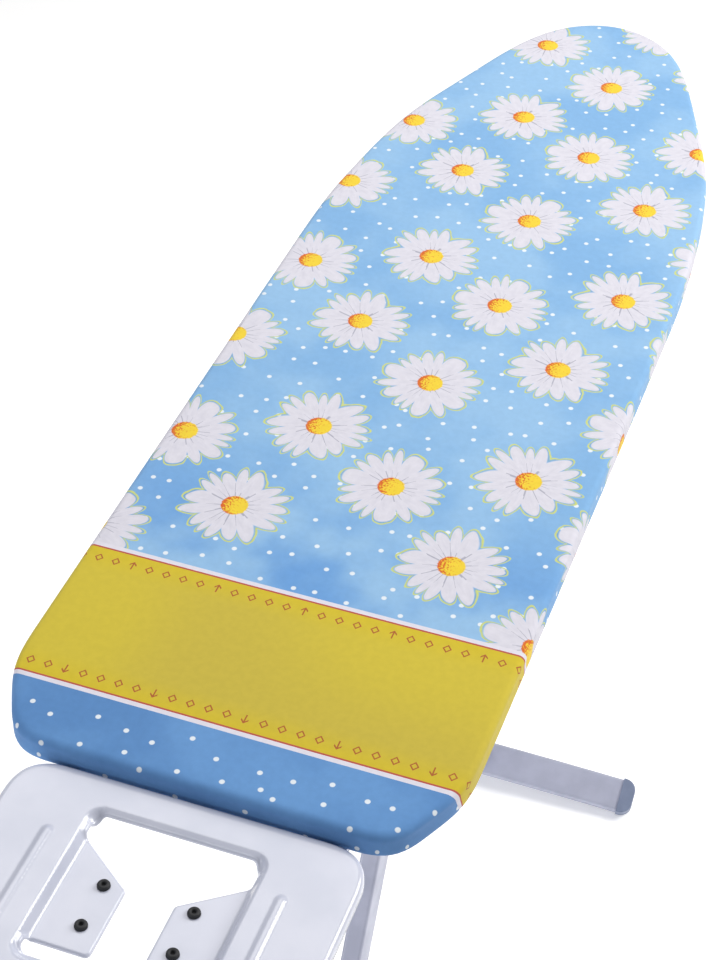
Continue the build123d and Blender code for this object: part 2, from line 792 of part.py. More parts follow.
print("foot z", round(foot_z, 3), "leg length", round(leg_length, 2))
print("front foot y", round(front_foot_y, 2), "rear foot y", round(rear_foot_y, 2))
print("pivot", round(pivot_y, 3), round(pivot_z, 3), "cross", round(cross_y, 3), round(cross_z, 3))
print("rod y", round(rod_y, 2), round(rod_raised_y, 2), round(rod_folded_y, 2))
print("lever pin", round(lever_pin_y, 3), round(lever_pin_z, 3), "rear end", round(rear_y, 3))
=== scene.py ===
import math

import bmesh
import bpy
from mathutils import Euler, Matrix, Vector, noise
from mathutils.geometry import convex_hull_2d, delaunay_2d_cdt
from mathutils.kdtree import KDTree


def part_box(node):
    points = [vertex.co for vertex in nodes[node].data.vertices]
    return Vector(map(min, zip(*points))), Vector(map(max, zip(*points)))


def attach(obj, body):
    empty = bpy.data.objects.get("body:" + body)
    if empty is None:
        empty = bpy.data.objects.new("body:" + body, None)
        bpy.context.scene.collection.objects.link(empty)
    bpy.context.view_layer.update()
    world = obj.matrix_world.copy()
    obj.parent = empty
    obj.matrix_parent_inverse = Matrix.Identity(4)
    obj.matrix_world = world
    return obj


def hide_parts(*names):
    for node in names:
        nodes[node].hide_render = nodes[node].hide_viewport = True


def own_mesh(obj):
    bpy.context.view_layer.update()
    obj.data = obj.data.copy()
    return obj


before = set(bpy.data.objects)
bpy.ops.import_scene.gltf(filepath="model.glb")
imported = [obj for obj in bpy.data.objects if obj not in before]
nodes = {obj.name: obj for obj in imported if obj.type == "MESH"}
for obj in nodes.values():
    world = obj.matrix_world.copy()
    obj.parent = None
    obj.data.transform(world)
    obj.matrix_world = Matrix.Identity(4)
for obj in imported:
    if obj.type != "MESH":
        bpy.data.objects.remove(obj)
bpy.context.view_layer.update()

mm = 0.001
fillInside = 1                     # a flat fill keeps only what is inside its outline
print("stage: frame loaded,", len(nodes), "nodes")


def linearColour(hexText):
    channels = [int(hexText[i:i + 2], 16) / 255 for i in (1, 3, 5)]
    # the standard sRGB curve
    linear = [c / 12.92 if c <= 0.04045 else ((c + 0.055) / 1.055) ** 2.4 for c in channels]
    return (*linear, 1.0)


def addNode(tree, kind, inputs=(), **settings):
    made = tree.nodes.new(kind)
    for name, value in settings.items():
        setattr(made, name, value)
    shown = [socket for socket in made.inputs if socket.enabled]
    pairs = inputs.items() if isinstance(inputs, dict) else enumerate(inputs)
    for key, value in pairs:
        socket = made.inputs[key] if isinstance(key, str) else shown[key]
        if isinstance(value, bpy.types.Node):
            value = next(out for out in value.outputs if out.enabled)
        if isinstance(value, bpy.types.NodeSocket):
            tree.links.new(value, socket)
        elif value is not None:
            socket.default_value = value
    return made


def newMaterial(name):
    material = bpy.data.materials.new(name)
    material.use_nodes = True
    tree = material.node_tree
    tree.nodes.clear()
    shader = addNode(tree, "ShaderNodeBsdfPrincipled")
    addNode(tree, "ShaderNodeOutputMaterial", {"Surface": shader})
    return material, tree, shader


def meshObject(name, vertices, faces, material, smooth=True):
    mesh = bpy.data.meshes.new(name)
    mesh.from_pydata([tuple(v) for v in vertices], [], faces)
    mesh.materials.append(material)
    mesh.polygons.foreach_set("use_smooth", [smooth] * len(mesh.polygons))
    mesh.update()
    made = bpy.data.objects.new(name, mesh)
    bpy.context.scene.collection.objects.link(made)
    return made


def faceOutward(made):
    work = bmesh.new()
    work.from_mesh(made.data)
    bmesh.ops.recalc_face_normals(work, faces=work.faces)
    work.to_mesh(made.data)
    work.free()


# camera, lights and floor

studio = {
    "cameraPlace": (0.44406, -1.39000, 2.00946),
    "cameraTurn": (48.929, -0.346, 20.034),
    "lens": 77.4,
    "floorHex": "#fbfbfb",
    "floorGlow": 0.3,
    "floorRough": 0.95,
    "floorSpecular": 0.1,
    "floorHalf": 12,
    "farthest": 30,                # where the camera stops seeing, m
    "worldHex": "#f4f6fb",
    "worldStrength": 0.3,
    "lamps": [
        # name, place, aimed at, size, watts, colour
        ("keyPanel", (2.3, 1.4, 2.7), (0.0, 0.0, 0.7), 1.9, 96, "#fffdf8"),
        ("topPanel", (-0.4, 0.7, 3.2), (0.0, 0.0, 0.8), 2.4, 44, "#fffdfa"),
        ("rearFill", (-1.6, -2.6, 0.85), (0.0, -0.4, 0.6), 1.8, 32, "#fbfcff"),
    ],
}


def makeStudio(look):
    scene = bpy.context.scene
    scene.view_settings.view_transform = "Standard"
    world = bpy.data.worlds.new("studioAir")
    world.use_nodes = True
    background = world.node_tree.nodes["Background"]
    background.inputs["Color"].default_value = linearColour(look["worldHex"])
    background.inputs["Strength"].default_value = look["worldStrength"]
    scene.world = world

    view = bpy.data.cameras.new("camera")
    view.lens = look["lens"]
    view.clip_end = look["farthest"]
    camera = bpy.data.objects.new("camera", view)
    camera.location = look["cameraPlace"]
    camera.rotation_euler = Euler([math.radians(a) for a in look["cameraTurn"]])
    scene.collection.objects.link(camera)
    scene.camera = camera

    for name, place, target, size, watts, colour in look["lamps"]:
        lamp = bpy.data.lights.new(name, "AREA")
        lamp.size = size
        lamp.energy = watts
        lamp.color = linearColour(colour)[:3]
        holder = bpy.data.objects.new(name, lamp)
        holder.location = place
        aim = Vector(target) - Vector(place)
        holder.rotation_euler = aim.to_track_quat("-Z", "Y").to_euler()
        scene.collection.objects.link(holder)

    paper, tree, shader = newMaterial("paper backdrop, matt")  # matt roll, nearly no shadow
    colour = linearColour(look["floorHex"])
    shader.inputs["Base Color"].default_value = colour
    shader.inputs["Roughness"].default_value = look["floorRough"]
    shader.inputs["Specular IOR Level"].default_value = look["floorSpecular"]
    shader.inputs["Emission Color"].default_value = colour
    shader.inputs["Emission Strength"].default_value = look["floorGlow"]
    half = look["floorHalf"]
    corners = [(-half, -half, 0), (half, -half, 0), (half, half, 0), (-half, half, 0)]
    floor = meshObject("studioFloor", corners, [(0, 1, 2, 3)], paper, smooth=False)


makeStudio(studio)
print("stage: studio ready")


# printed cotton of the cover

cottonPrint = {
    "bandStart": 61.0,             # mm from the board's rear end
    "bandEnd": 210.0,
    "redStripe": 1.7,
    "whiteStripe": 4.2,
    "cell": (194.8, 281.3),        # one repeat of the print, mm
    "cellTurn": 2.1,               # degrees, the cloth was cut a little off the grain
    "daisies": [(-182.7, 89.6), (-74.5, 136.7), (-2.0, 228.6), (-93.4, 294.7)],
    "bareBelow": 250.0,            # no daisy is printed this near the band,
    "bareAcross": (-60.0, 60.0),   # over this width
    "daisyRadius": 48.5,
    "daisyFade": (3, 4),           # past the radius, where a daisy's lines end
    "daisyTurn": 1.7,              # each of the four is turned by this many radians more
    "petals": 17,
    "petalHalfWidth": 5.5,
    "petalTip": 13.0,
    "petalTipWidth": 1.15,
    "petalShortening": 7.0,
    "petalSway": 0.28,
    "petalSoft": (-0.35, 0.25),
    "swayWaves": (3.0, 7.0),       # waves round a daisy
    "swayMix": 0.6,
    "streak": (7.0, 0.06),         # how much finer across a petal than along it, and the scale
    "veinSpan": (0.6, 1.5),
    "veinStrength": 0.75,
    "veinLength": (16.0, 13.0),    # what varies and what is the same in each
    "ringPatch": 9,
    "ringGap": (2.0, 0.1),
    "ringSpan": (0.3, 0.6),
    "lineAt": 0.5,
    "lineSpan": (0.15, 0.5),
    "lineStrength": 0.6,
    "eyeRadius": 11.5,
    "eyeSpeck": 0.55,
    "eyeLean": -0.016,
    "eyeRim": (4, 0.14),           # width and strength of the redder rim
    "eyeRed": (0.55, 0.68),
    "eyeRagged": 3.0,
    "eyeSoft": (1.2, 2.0),
    "cloudPatch": 130,
    "cloudSpan": (0.38, 0.62),
    "cloudReach": 190,             # how far past the band the clouds go
    "dotPitch": 27.0,
    "dotScatter": 0.65,
    "dotRadius": 2.15,
    "dotSoft": 0.012,
    "inkDepth": 0.8,
    # size and spread of the painted highlight patches on the yellow band
    "bandPatch": 220,
    "bandSpan": (0.35, 0.65),
    "bandRim": (30, 0.8),          # width and strength of the brighter rim
    "markPitch": 15.0,
    "markFromEdge": 13.0,
    "markTurns": 5.0,              # every fifth mark is an arrow
    "lozenge": (1.15, 3.6, 0.85),  # slant, half height, half line
    "arrowHead": (3.8, 0.9, 3.0),  # tip, half line, half width
    "arrowStem": (0.6, 4.4),
    "threadPitch": 1.3,            # real threads are 0.4 mm apart; drawn coarser so that they show
    "skyHex": "#9ac6ee", "skyDeepHex": "#86b8e8", "cloudHex": "#6ba3e2",
    # rear-end blues: the print's own colour there, darkened with painted shade of the rear roll
    "rearHex": "#6b9fda", "rearDeepHex": "#5c8fcb",
    "bandHex": "#cfbb43", "bandLitHex": "#d8c43c", "bandRimHex": "#dcc423",
    "redHex": "#c05a4a", "whiteHex": "#e9e6f2", "markHex": "#b4632f",
    "petalHex": "#eceaf4", "petalShadeHex": "#d6d5e3", "veinHex": "#9a9caf",
    "outlineHex": "#d2dc84", "outlineDarkHex": "#7f9fae",
    "eyeHex": "#f8d838", "eyeDarkHex": "#df6a22", "dotHex": "#eef7ff",
}


def daisyPattern(tree, offset, identity, look):
    # offset is the vector in mm from the nearest daisy's middle; edge is 0 on a petal's outline
    maths = "ShaderNodeMath"
    flat = addNode(tree, "ShaderNodeSeparateXYZ", [offset])
    reach = addNode(tree, "ShaderNodeVectorMath", [offset], operation="LENGTH")
    turn = addNode(tree, maths, [flat.outputs[1], flat.outputs[0]], operation="ARCTAN2")
    turn = addNode(tree, maths, [identity, look["daisyTurn"], turn], operation="MULTIPLY_ADD")
    slow, fast = look["swayWaves"]
    wave = addNode(tree, maths, [turn, slow, identity], operation="MULTIPLY_ADD")
    wave = addNode(tree, maths, [wave], operation="SINE")
    ripple = addNode(tree, maths, [turn, fast, identity], operation="MULTIPLY_ADD")
    ripple = addNode(tree, maths, [ripple], operation="SINE")
    sway = addNode(tree, maths, [ripple, look["swayMix"], wave], operation="MULTIPLY_ADD")
    perRadian = look["petals"] / (2 * math.pi)
    phase = addNode(tree, maths, [turn, perRadian, 0.0], operation="MULTIPLY_ADD")
    phase = addNode(tree, maths, [sway, look["petalSway"], phase], operation="MULTIPLY_ADD")
    phase = addNode(tree, maths, [phase, look["petals"], 0.0], operation="WRAP")
    petal = addNode(tree, maths, [phase], operation="FLOOR")
    across = addNode(tree, maths, [phase], operation="FRACT")
    across = addNode(tree, maths, [across, 0.5], operation="SUBTRACT")
    chance = addNode(tree, "ShaderNodeCombineXYZ", [petal, identity])
    chance = addNode(tree, "ShaderNodeTexWhiteNoise", [chance], noise_dimensions="3D")
    angle = addNode(tree, maths, [across, 1 / perRadian], operation="MULTIPLY")
    side = addNode(tree, maths, [angle], operation="SINE")
    side = addNode(tree, maths, [side, reach], operation="MULTIPLY")
    along = addNode(tree, maths, [angle], operation="COSINE")
    along = addNode(tree, maths, [along, reach], operation="MULTIPLY")
    # each petal is a strip with an elliptical tip
    tipStart = look["daisyRadius"] - look["petalTip"]
    shorter = addNode(tree, maths, [chance, look["petalShortening"], -tipStart], operation="MULTIPLY_ADD")
    past = addNode(tree, maths, [along, shorter], operation="ADD")
    past = addNode(tree, maths, [past, 0.0], operation="MAXIMUM")
    past = addNode(tree, maths, [past, 1 / look["petalTip"]], operation="MULTIPLY")
    sideways = addNode(tree, maths, [side, 1 / look["petalHalfWidth"]], operation="MULTIPLY")
    oval = addNode(tree, "ShaderNodeCombineXYZ", [past, sideways])
    oval = addNode(tree, "ShaderNodeVectorMath", [oval], operation="LENGTH")
    tipWidth = look["petalHalfWidth"] * look["petalTipWidth"]
    edge = addNode(tree, maths, [oval, tipWidth, -tipWidth], operation="MULTIPLY_ADD")
    return reach, along, side, across, chance, edge


def printColour(tree, look):
    maths = "ShaderNodeMath"
    remap = "ShaderNodeMapRange"
    mix = "ShaderNodeMix"
    cloth = addNode(tree, "ShaderNodeUVMap", uv_map="cloth")
    place = addNode(tree, "ShaderNodeVectorMath", [cloth, (1 / mm,) * 3], operation="MULTIPLY")
    axes = addNode(tree, "ShaderNodeSeparateXYZ", [place])
    acrossBoard, alongBoard = axes.outputs[0], axes.outputs[1]

    # sky blue ground, cloudier towards the band; the deeper blue at the rear end is partly the print there
    # and partly painted shade of the rear roll
    cloud = addNode(tree, "ShaderNodeTexNoise",
                    {"Vector": place, "Scale": 1 / look["cloudPatch"], "Detail": 3.0})
    haze = addNode(tree, remap, [cloud, *look["cloudSpan"], 0.0, 1.0], interpolation_type="SMOOTHSTEP")
    sky = addNode(tree, mix, [haze, linearColour(look["skyHex"]), linearColour(look["skyDeepHex"])],
                  data_type="RGBA")
    near = addNode(tree, remap, [alongBoard, look["bandEnd"], look["bandEnd"] + look["cloudReach"],
                                 1.0, 0.0], interpolation_type="SMOOTHSTEP")
    near = addNode(tree, maths, [near, haze], operation="MULTIPLY")
    sky = addNode(tree, mix, [near, sky, linearColour(look["cloudHex"])], data_type="RGBA")
    rear = addNode(tree, mix, [haze, linearColour(look["rearHex"]), linearColour(look["rearDeepHex"])],
                   data_type="RGBA")
    onNose = addNode(tree, maths, [alongBoard, look["bandStart"]], operation="GREATER_THAN")
    ground = addNode(tree, mix, [onNose, rear, sky], data_type="RGBA")

    # white dots strewn over the blue
    dots = addNode(tree, "ShaderNodeTexVoronoi",
                   {"Vector": place, "Scale": 1 / look["dotPitch"],
                    "Randomness": look["dotScatter"]},
                   voronoi_dimensions="2D")
    dotEdge = look["dotRadius"] / look["dotPitch"]
    dot = addNode(tree, remap, [dots.outputs["Distance"], dotEdge - look["dotSoft"],
                                dotEdge + look["dotSoft"], 1.0, 0.0])
    ground = addNode(tree, mix, [dot, ground, linearColour(look["dotHex"])], data_type="RGBA")

    # four daisies in each repeat: take the vector from the nearest one
    grain = addNode(tree, "ShaderNodeMapping",
                    {"Vector": place, "Rotation": (0, 0, math.radians(look["cellTurn"]))})
    halfCell = (look["cell"][0] / 2, look["cell"][1] / 2, 1)
    lowCell = tuple(-v for v in halfCell)
    turned = Matrix.Rotation(math.radians(look["cellTurn"]), 2)
    nearest = identity = None
    for number, middle in enumerate(look["daisies"]):
        middle = turned @ Vector(middle)
        offset = addNode(tree, "ShaderNodeVectorMath", [grain, (*middle, 0)], operation="SUBTRACT")
        offset = addNode(tree, "ShaderNodeVectorMath", [offset, halfCell, lowCell], operation="WRAP")
        if nearest is None:
            nearest = offset
            distance = addNode(tree, "ShaderNodeVectorMath", [offset], operation="LENGTH")
            continue
        reach = addNode(tree, "ShaderNodeVectorMath", [offset], operation="LENGTH")
        closer = addNode(tree, maths, [reach, distance], operation="LESS_THAN")
        distance = addNode(tree, maths, [reach, distance], operation="MINIMUM")
        nearest = addNode(tree, mix, [closer, nearest, offset], data_type="VECTOR")
        identity = addNode(tree, mix, [closer, 0.0 if identity is None else identity, float(number)])
    reach, along, side, across, chance, edge = daisyPattern(tree, nearest, identity, look)

    wobble = addNode(tree, "ShaderNodeTexNoise",
                     {"Vector": place, "Scale": 1 / look["ringPatch"], "Detail": 1.0})
    ringAt = addNode(tree, maths, [wobble, *look["ringGap"]], operation="MULTIPLY_ADD")
    ring = addNode(tree, maths, [edge, ringAt], operation="SUBTRACT")
    ring = addNode(tree, maths, [ring], operation="ABSOLUTE")
    ring = addNode(tree, remap, [ring, *look["ringSpan"], 1.0, 0.0])
    fade = [look["daisyRadius"] + past for past in look["daisyFade"]]
    onFlower = addNode(tree, remap, [reach, *fade, 1.0, 0.0])
    middle = addNode(tree, "ShaderNodeVectorMath", [place, nearest], operation="SUBTRACT")
    middle = addNode(tree, "ShaderNodeSeparateXYZ", [middle])
    bare = addNode(tree, maths, [middle.outputs[1], look["bareBelow"]], operation="LESS_THAN")
    for limit, sense in zip(look["bareAcross"], ("GREATER_THAN", "LESS_THAN")):
        within = addNode(tree, maths, [middle.outputs[0], limit], operation=sense)
        bare = addNode(tree, maths, [bare, within], operation="MULTIPLY")
    printed = addNode(tree, maths, [1.0, bare], operation="SUBTRACT")
    onFlower = addNode(tree, maths, [onFlower, printed], operation="MULTIPLY")
    ring = addNode(tree, maths, [ring, onFlower], operation="MULTIPLY")
    ground = addNode(tree, mix, [ring, ground, linearColour(look["outlineHex"])], data_type="RGBA")
    line = addNode(tree, maths, [edge, look["lineAt"]], operation="SUBTRACT")
    line = addNode(tree, maths, [line], operation="ABSOLUTE")
    line = addNode(tree, remap, [line, *look["lineSpan"], look["lineStrength"], 0.0])
    line = addNode(tree, maths, [line, onFlower], operation="MULTIPLY")
    line = addNode(tree, maths, [line, wobble], operation="MULTIPLY")
    ground = addNode(tree, mix, [line, ground, linearColour(look["outlineDarkHex"])], data_type="RGBA")

    finer, streakScale = look["streak"]
    streak = addNode(tree, maths, [side, finer], operation="MULTIPLY")
    streak = addNode(tree, "ShaderNodeCombineXYZ", [along, streak])
    streak = addNode(tree, "ShaderNodeTexNoise", {"Vector": streak, "Scale": streakScale, "Detail": 2.0})
    petal = addNode(tree, mix, [streak, linearColour(look["petalHex"]), linearColour(look["petalShadeHex"])],
                    data_type="RGBA")
    split = addNode(tree, maths, [across], operation="ABSOLUTE")
    split = addNode(tree, maths, [0.5, split], operation="SUBTRACT")
    split = addNode(tree, maths, [split, reach], operation="MULTIPLY")
    split = addNode(tree, remap, [split, *look["veinSpan"], look["veinStrength"], 0.0])
    veinEnd = addNode(tree, maths, [chance, *look["veinLength"]], operation="MULTIPLY_ADD")
    short = addNode(tree, maths, [reach, veinEnd], operation="LESS_THAN")
    split = addNode(tree, maths, [split, short], operation="MULTIPLY")
    petal = addNode(tree, mix, [split, petal, linearColour(look["veinHex"])], data_type="RGBA")
    inside = addNode(tree, remap, [edge, *look["petalSoft"], 1.0, 0.0])
    inside = addNode(tree, maths, [inside, onFlower], operation="MULTIPLY")
    ground = addNode(tree, mix, [inside, ground, petal], data_type="RGBA")

    # speckled yellow eye, redder on its left
    flat = addNode(tree, "ShaderNodeSeparateXYZ", [nearest])
    speck = addNode(tree, "ShaderNodeTexNoise", {"Vector": place, "Scale": look["eyeSpeck"], "Detail": 2.0})
    lean = addNode(tree, maths, [flat.outputs[0], look["eyeLean"], speck], operation="MULTIPLY_ADD")
    rimWide, rimRed = look["eyeRim"]
    rim = addNode(tree, remap, [reach, look["eyeRadius"] - rimWide, look["eyeRadius"], 0.0, rimRed])
    lean = addNode(tree, maths, [lean, rim], operation="ADD")
    red = addNode(tree, remap, [lean, *look["eyeRed"], 0.0, 1.0])
    eye = addNode(tree, mix, [red, linearColour(look["eyeHex"]), linearColour(look["eyeDarkHex"])],
                  data_type="RGBA")
    ragged = addNode(tree, maths, [speck, look["eyeRagged"], reach], operation="MULTIPLY_ADD")
    soft = [look["eyeRadius"] + past for past in look["eyeSoft"]]
    isEye = addNode(tree, remap, [ragged, *soft, 1.0, 0.0])
    isEye = addNode(tree, maths, [isEye, printed], operation="MULTIPLY")
    ground = addNode(tree, mix, [isEye, ground, eye], data_type="RGBA")

    # daisies are only on the nose side of the band
    isNose = addNode(tree, maths, [alongBoard, look["bandEnd"]], operation="GREATER_THAN")
    rearBlue = addNode(tree, mix, [dot, rear, linearColour(look["dotHex"])], data_type="RGBA")
    ground = addNode(tree, mix, [isNose, rearBlue, ground], data_type="RGBA")

    # yellow band with red and white stripes and a row of plain marks at each edge
    bandMiddle = (look["bandStart"] + look["bandEnd"]) / 2
    bandHalf = (look["bandEnd"] - look["bandStart"]) / 2
    fromMiddle = addNode(tree, maths, [alongBoard, bandMiddle], operation="SUBTRACT")
    fromMiddle = addNode(tree, maths, [fromMiddle], operation="ABSOLUTE")
    # painted highlight: soft patches where the yellow turns to its lit tone
    soft = addNode(tree, "ShaderNodeTexNoise",
                   {"Vector": place, "Scale": 1 / look["bandPatch"], "Detail": 0.0})
    soft = addNode(tree, remap, [soft, *look["bandSpan"], 0.0, 1.0], interpolation_type="SMOOTHSTEP")
    band = addNode(tree, mix, [soft, linearColour(look["bandHex"]), linearColour(look["bandLitHex"])],
                   data_type="RGBA")
    glowWide, glow = look["bandRim"]
    rimGlow = addNode(tree, remap, [fromMiddle, bandHalf - glowWide, bandHalf, 0.0, glow],
                      interpolation_type="SMOOTHSTEP")
    band = addNode(tree, mix, [rimGlow, band, linearColour(look["bandRimHex"])], data_type="RGBA")

    step = addNode(tree, maths, [acrossBoard, 1 / look["markPitch"]], operation="MULTIPLY")
    cell = addNode(tree, maths, [step], operation="FLOOR")
    local = addNode(tree, maths, [step], operation="FRACT")
    local = addNode(tree, maths, [local, 0.5], operation="SUBTRACT")
    local = addNode(tree, maths, [local, look["markPitch"]], operation="MULTIPLY")
    local = addNode(tree, maths, [local], operation="ABSOLUTE")
    rise = addNode(tree, maths, [fromMiddle, bandHalf - look["markFromEdge"]], operation="SUBTRACT")
    riseSize = addNode(tree, maths, [rise], operation="ABSOLUTE")
    slant, tall, line = look["lozenge"]
    lozenge = addNode(tree, maths, [local, slant, riseSize], operation="MULTIPLY_ADD")
    lozenge = addNode(tree, maths, [lozenge, tall], operation="SUBTRACT")
    lozenge = addNode(tree, maths, [lozenge], operation="ABSOLUTE")
    lozenge = addNode(tree, maths, [lozenge, line], operation="LESS_THAN")
    tip, line, wide = look["arrowHead"]
    head = addNode(tree, maths, [rise, local], operation="ADD")
    head = addNode(tree, maths, [head, tip], operation="SUBTRACT")
    head = addNode(tree, maths, [head], operation="ABSOLUTE")
    head = addNode(tree, maths, [head, line], operation="LESS_THAN")
    narrow = addNode(tree, maths, [local, wide], operation="LESS_THAN")
    head = addNode(tree, maths, [head, narrow], operation="MULTIPLY")
    line, tall = look["arrowStem"]
    stem = addNode(tree, maths, [local, line], operation="LESS_THAN")
    tall = addNode(tree, maths, [riseSize, tall], operation="LESS_THAN")
    stem = addNode(tree, maths, [stem, tall], operation="MULTIPLY")
    arrow = addNode(tree, maths, [head, stem], operation="MAXIMUM")
    turnTaken = addNode(tree, maths, [cell, look["markTurns"]], operation="FLOORED_MODULO")
    isArrow = addNode(tree, maths, [turnTaken, 0.5], operation="LESS_THAN")
    mark = addNode(tree, mix, [isArrow, lozenge, arrow])
    band = addNode(tree, mix, [mark, band, linearColour(look["markHex"])], data_type="RGBA")
    isRed = addNode(tree, maths, [fromMiddle, bandHalf - look["redStripe"]], operation="GREATER_THAN")
    band = addNode(tree, mix, [isRed, band, linearColour(look["redHex"])], data_type="RGBA")
    isWhite = addNode(tree, maths, [fromMiddle, bandHalf], operation="GREATER_THAN")
    band = addNode(tree, mix, [isWhite, band, linearColour(look["whiteHex"])], data_type="RGBA")
    isBand = addNode(tree, maths, [fromMiddle, bandHalf + look["whiteStripe"]], operation="LESS_THAN")
    colour = addNode(tree, mix, [isBand, ground, band], data_type="RGBA")
    return place, colour


cottonFeel = {
    "slub": (0.16, 1.6),           # scale and height of the uneven threads
    "bump": (0.22, 0.12),          # strength, and depth in mm
    "worn": (0.97, 1.02),
    "wornSpan": (0.35, 0.65),
    "rough": 0.82,
    "specular": 0.28,
    "sheen": (0.12, 0.5),          # weight and roughness
}


def makeCottonPrint(look, feel):
    # printed cotton, plain weave: dull, with a faint sheen at grazing angles
    material, tree, shader = newMaterial("printed cotton, plain weave")
    place, colour = printColour(tree, look)
    pitch = 2 * math.pi / look["threadPitch"]
    axes = addNode(tree, "ShaderNodeSeparateXYZ", [place])
    warp = addNode(tree, "ShaderNodeMath", [axes.outputs[0], pitch], operation="MULTIPLY")
    warp = addNode(tree, "ShaderNodeMath", [warp], operation="SINE")
    weft = addNode(tree, "ShaderNodeMath", [axes.outputs[1], pitch], operation="MULTIPLY")
    weft = addNode(tree, "ShaderNodeMath", [weft], operation="SINE")
    weave = addNode(tree, "ShaderNodeMath", [warp, weft], operation="MULTIPLY")
    slubScale, slubHeight = feel["slub"]
    slub = addNode(tree, "ShaderNodeTexNoise", {"Vector": place, "Scale": slubScale, "Detail": 3.0})
    height = addNode(tree, "ShaderNodeMath", [slub, slubHeight, weave], operation="MULTIPLY_ADD")
    strength, depth = feel["bump"]
    bump = addNode(tree, "ShaderNodeBump",
                   {"Height": height, "Strength": strength, "Distance": depth * mm})
    ink = [share * look["inkDepth"] for share in feel["worn"]]
    worn = addNode(tree, "ShaderNodeMapRange", [slub, *feel["wornSpan"], *ink])
    shade = addNode(tree, "ShaderNodeVectorMath", [colour], operation="SCALE")
    tree.links.new(worn.outputs[0], shade.inputs["Scale"])
    tree.links.new(shade.outputs[0], shader.inputs["Base Color"])
    tree.links.new(bump.outputs[0], shader.inputs["Normal"])
    shader.inputs["Roughness"].default_value = feel["rough"]
    shader.inputs["Specular IOR Level"].default_value = feel["specular"]
    shader.inputs["Sheen Weight"].default_value = feel["sheen"][0]
    shader.inputs["Sheen Roughness"].default_value = feel["sheen"][1]
    return material


cotton = makeCottonPrint(cottonPrint, cottonFeel)
print("stage: printed cotton ready")


# plain finishes, one row each

finishes = {
    # patch is the size of the change from base to second, grain the size of the bumps, both in mm;
    # bump is their depth in mm
    "vitreous enamel, fired": dict(  # glassy coat over pressed steel, a little uneven
        base="#c6c9d8", second="#bec2d2", patch=60, rough=(0.16, 0.26), metal=0.0,
        bump=0.05, grain=9, coat=0.5),
    "rubber, moulded": dict(  # dull black, fine pitting
        base="#1c1d20", second="#26272b", patch=3, rough=(0.55, 0.75), metal=0.0,
        bump=0.04, grain=0.8, coat=0.0),
    "powder coat, baked": dict(  # silky lavender grey with orange peel
        base="#b6b9cc", second="#adb0c3", patch=30, rough=(0.38, 0.52), metal=0.15,
        bump=0.05, grain=1.6, coat=0.15),
    "zinc plated steel": dict(  # bright, with cloudy spangle
        base="#c9cbcf", second="#a9adb3", patch=7, rough=(0.25, 0.42), metal=1.0,
        bump=0.01, grain=1.0, coat=0.0),
    "spring steel, drawn": dict(  # dark, oily, drawn along the wire
        base="#8c8e92", second="#74767b", patch=2, rough=(0.28, 0.4), metal=1.0,
        bump=0.01, grain=0.5, coat=0.0),
    "polypropylene, moulded": dict(  # blue grey, spark-eroded grain
        base="#7f8aa4", second="#77829c", patch=20, rough=(0.42, 0.55), metal=0.0,
        bump=0.04, grain=0.7, coat=0.0),
    "nylon, moulded": dict(  # milky white, faint sink marks
        base="#dcdcd6", second="#cfcfc8", patch=6, rough=(0.35, 0.48), metal=0.0,
        bump=0.02, grain=1.2, coat=0.0),
    "stove paint on sheet steel": dict(  # pale grey, thin, satin
        base="#c9ccd4", second="#bcbfc9", patch=60, rough=(0.42, 0.55), metal=0.0,
        bump=0.03, grain=1.8, coat=0.0),
    "needled felt, polyester": dict(  # fuzzy off-white fibres
        base="#e4e1da", second="#cfcbc2", patch=4, rough=(0.9, 1.0), metal=0.0,
        bump=0.5, grain=1.5, coat=0.0),
}


finishShared = {
    "patchSpan": (0.35, 0.65),
    "roughSpan": (0.3, 0.7),
    "bumpStrength": 0.5,
    "coatRough": 0.12,
}


def makeFinish(name, look, shared):
    material, tree, shader = newMaterial(name)
    where = addNode(tree, "ShaderNodeTexCoord").outputs["Object"]
    patch = addNode(tree, "ShaderNodeTexNoise",
                    {"Vector": where, "Scale": 1 / (look["patch"] * mm), "Detail": 4.0})
    blend = addNode(tree, "ShaderNodeMapRange", [patch, *shared["patchSpan"], 0.0, 1.0],
                    interpolation_type="SMOOTHSTEP")
    colour = addNode(tree, "ShaderNodeMix",
                     [blend, linearColour(look["base"]), linearColour(look["second"])], data_type="RGBA")
    rough = addNode(tree, "ShaderNodeMapRange", [patch, *shared["roughSpan"], *look["rough"]])
    grain = addNode(tree, "ShaderNodeTexNoise",
                    {"Vector": where, "Scale": 1 / (look["grain"] * mm), "Detail": 2.0})
    bump = addNode(tree, "ShaderNodeBump",
                   {"Height": grain, "Strength": shared["bumpStrength"], "Distance": look["bump"] * mm})
    for source, target in ((colour.outputs[2], "Base Color"), (rough.outputs[0], "Roughness"),
                           (bump.outputs[0], "Normal")):
        tree.links.new(source, shader.inputs[target])
    shader.inputs["Metallic"].default_value = look["metal"]
    shader.inputs["Coat Weight"].default_value = look["coat"]
    shader.inputs["Coat Roughness"].default_value = shared["coatRough"]
    return material


material = {name: makeFinish(name, look, finishShared) for name, look in finishes.items()}

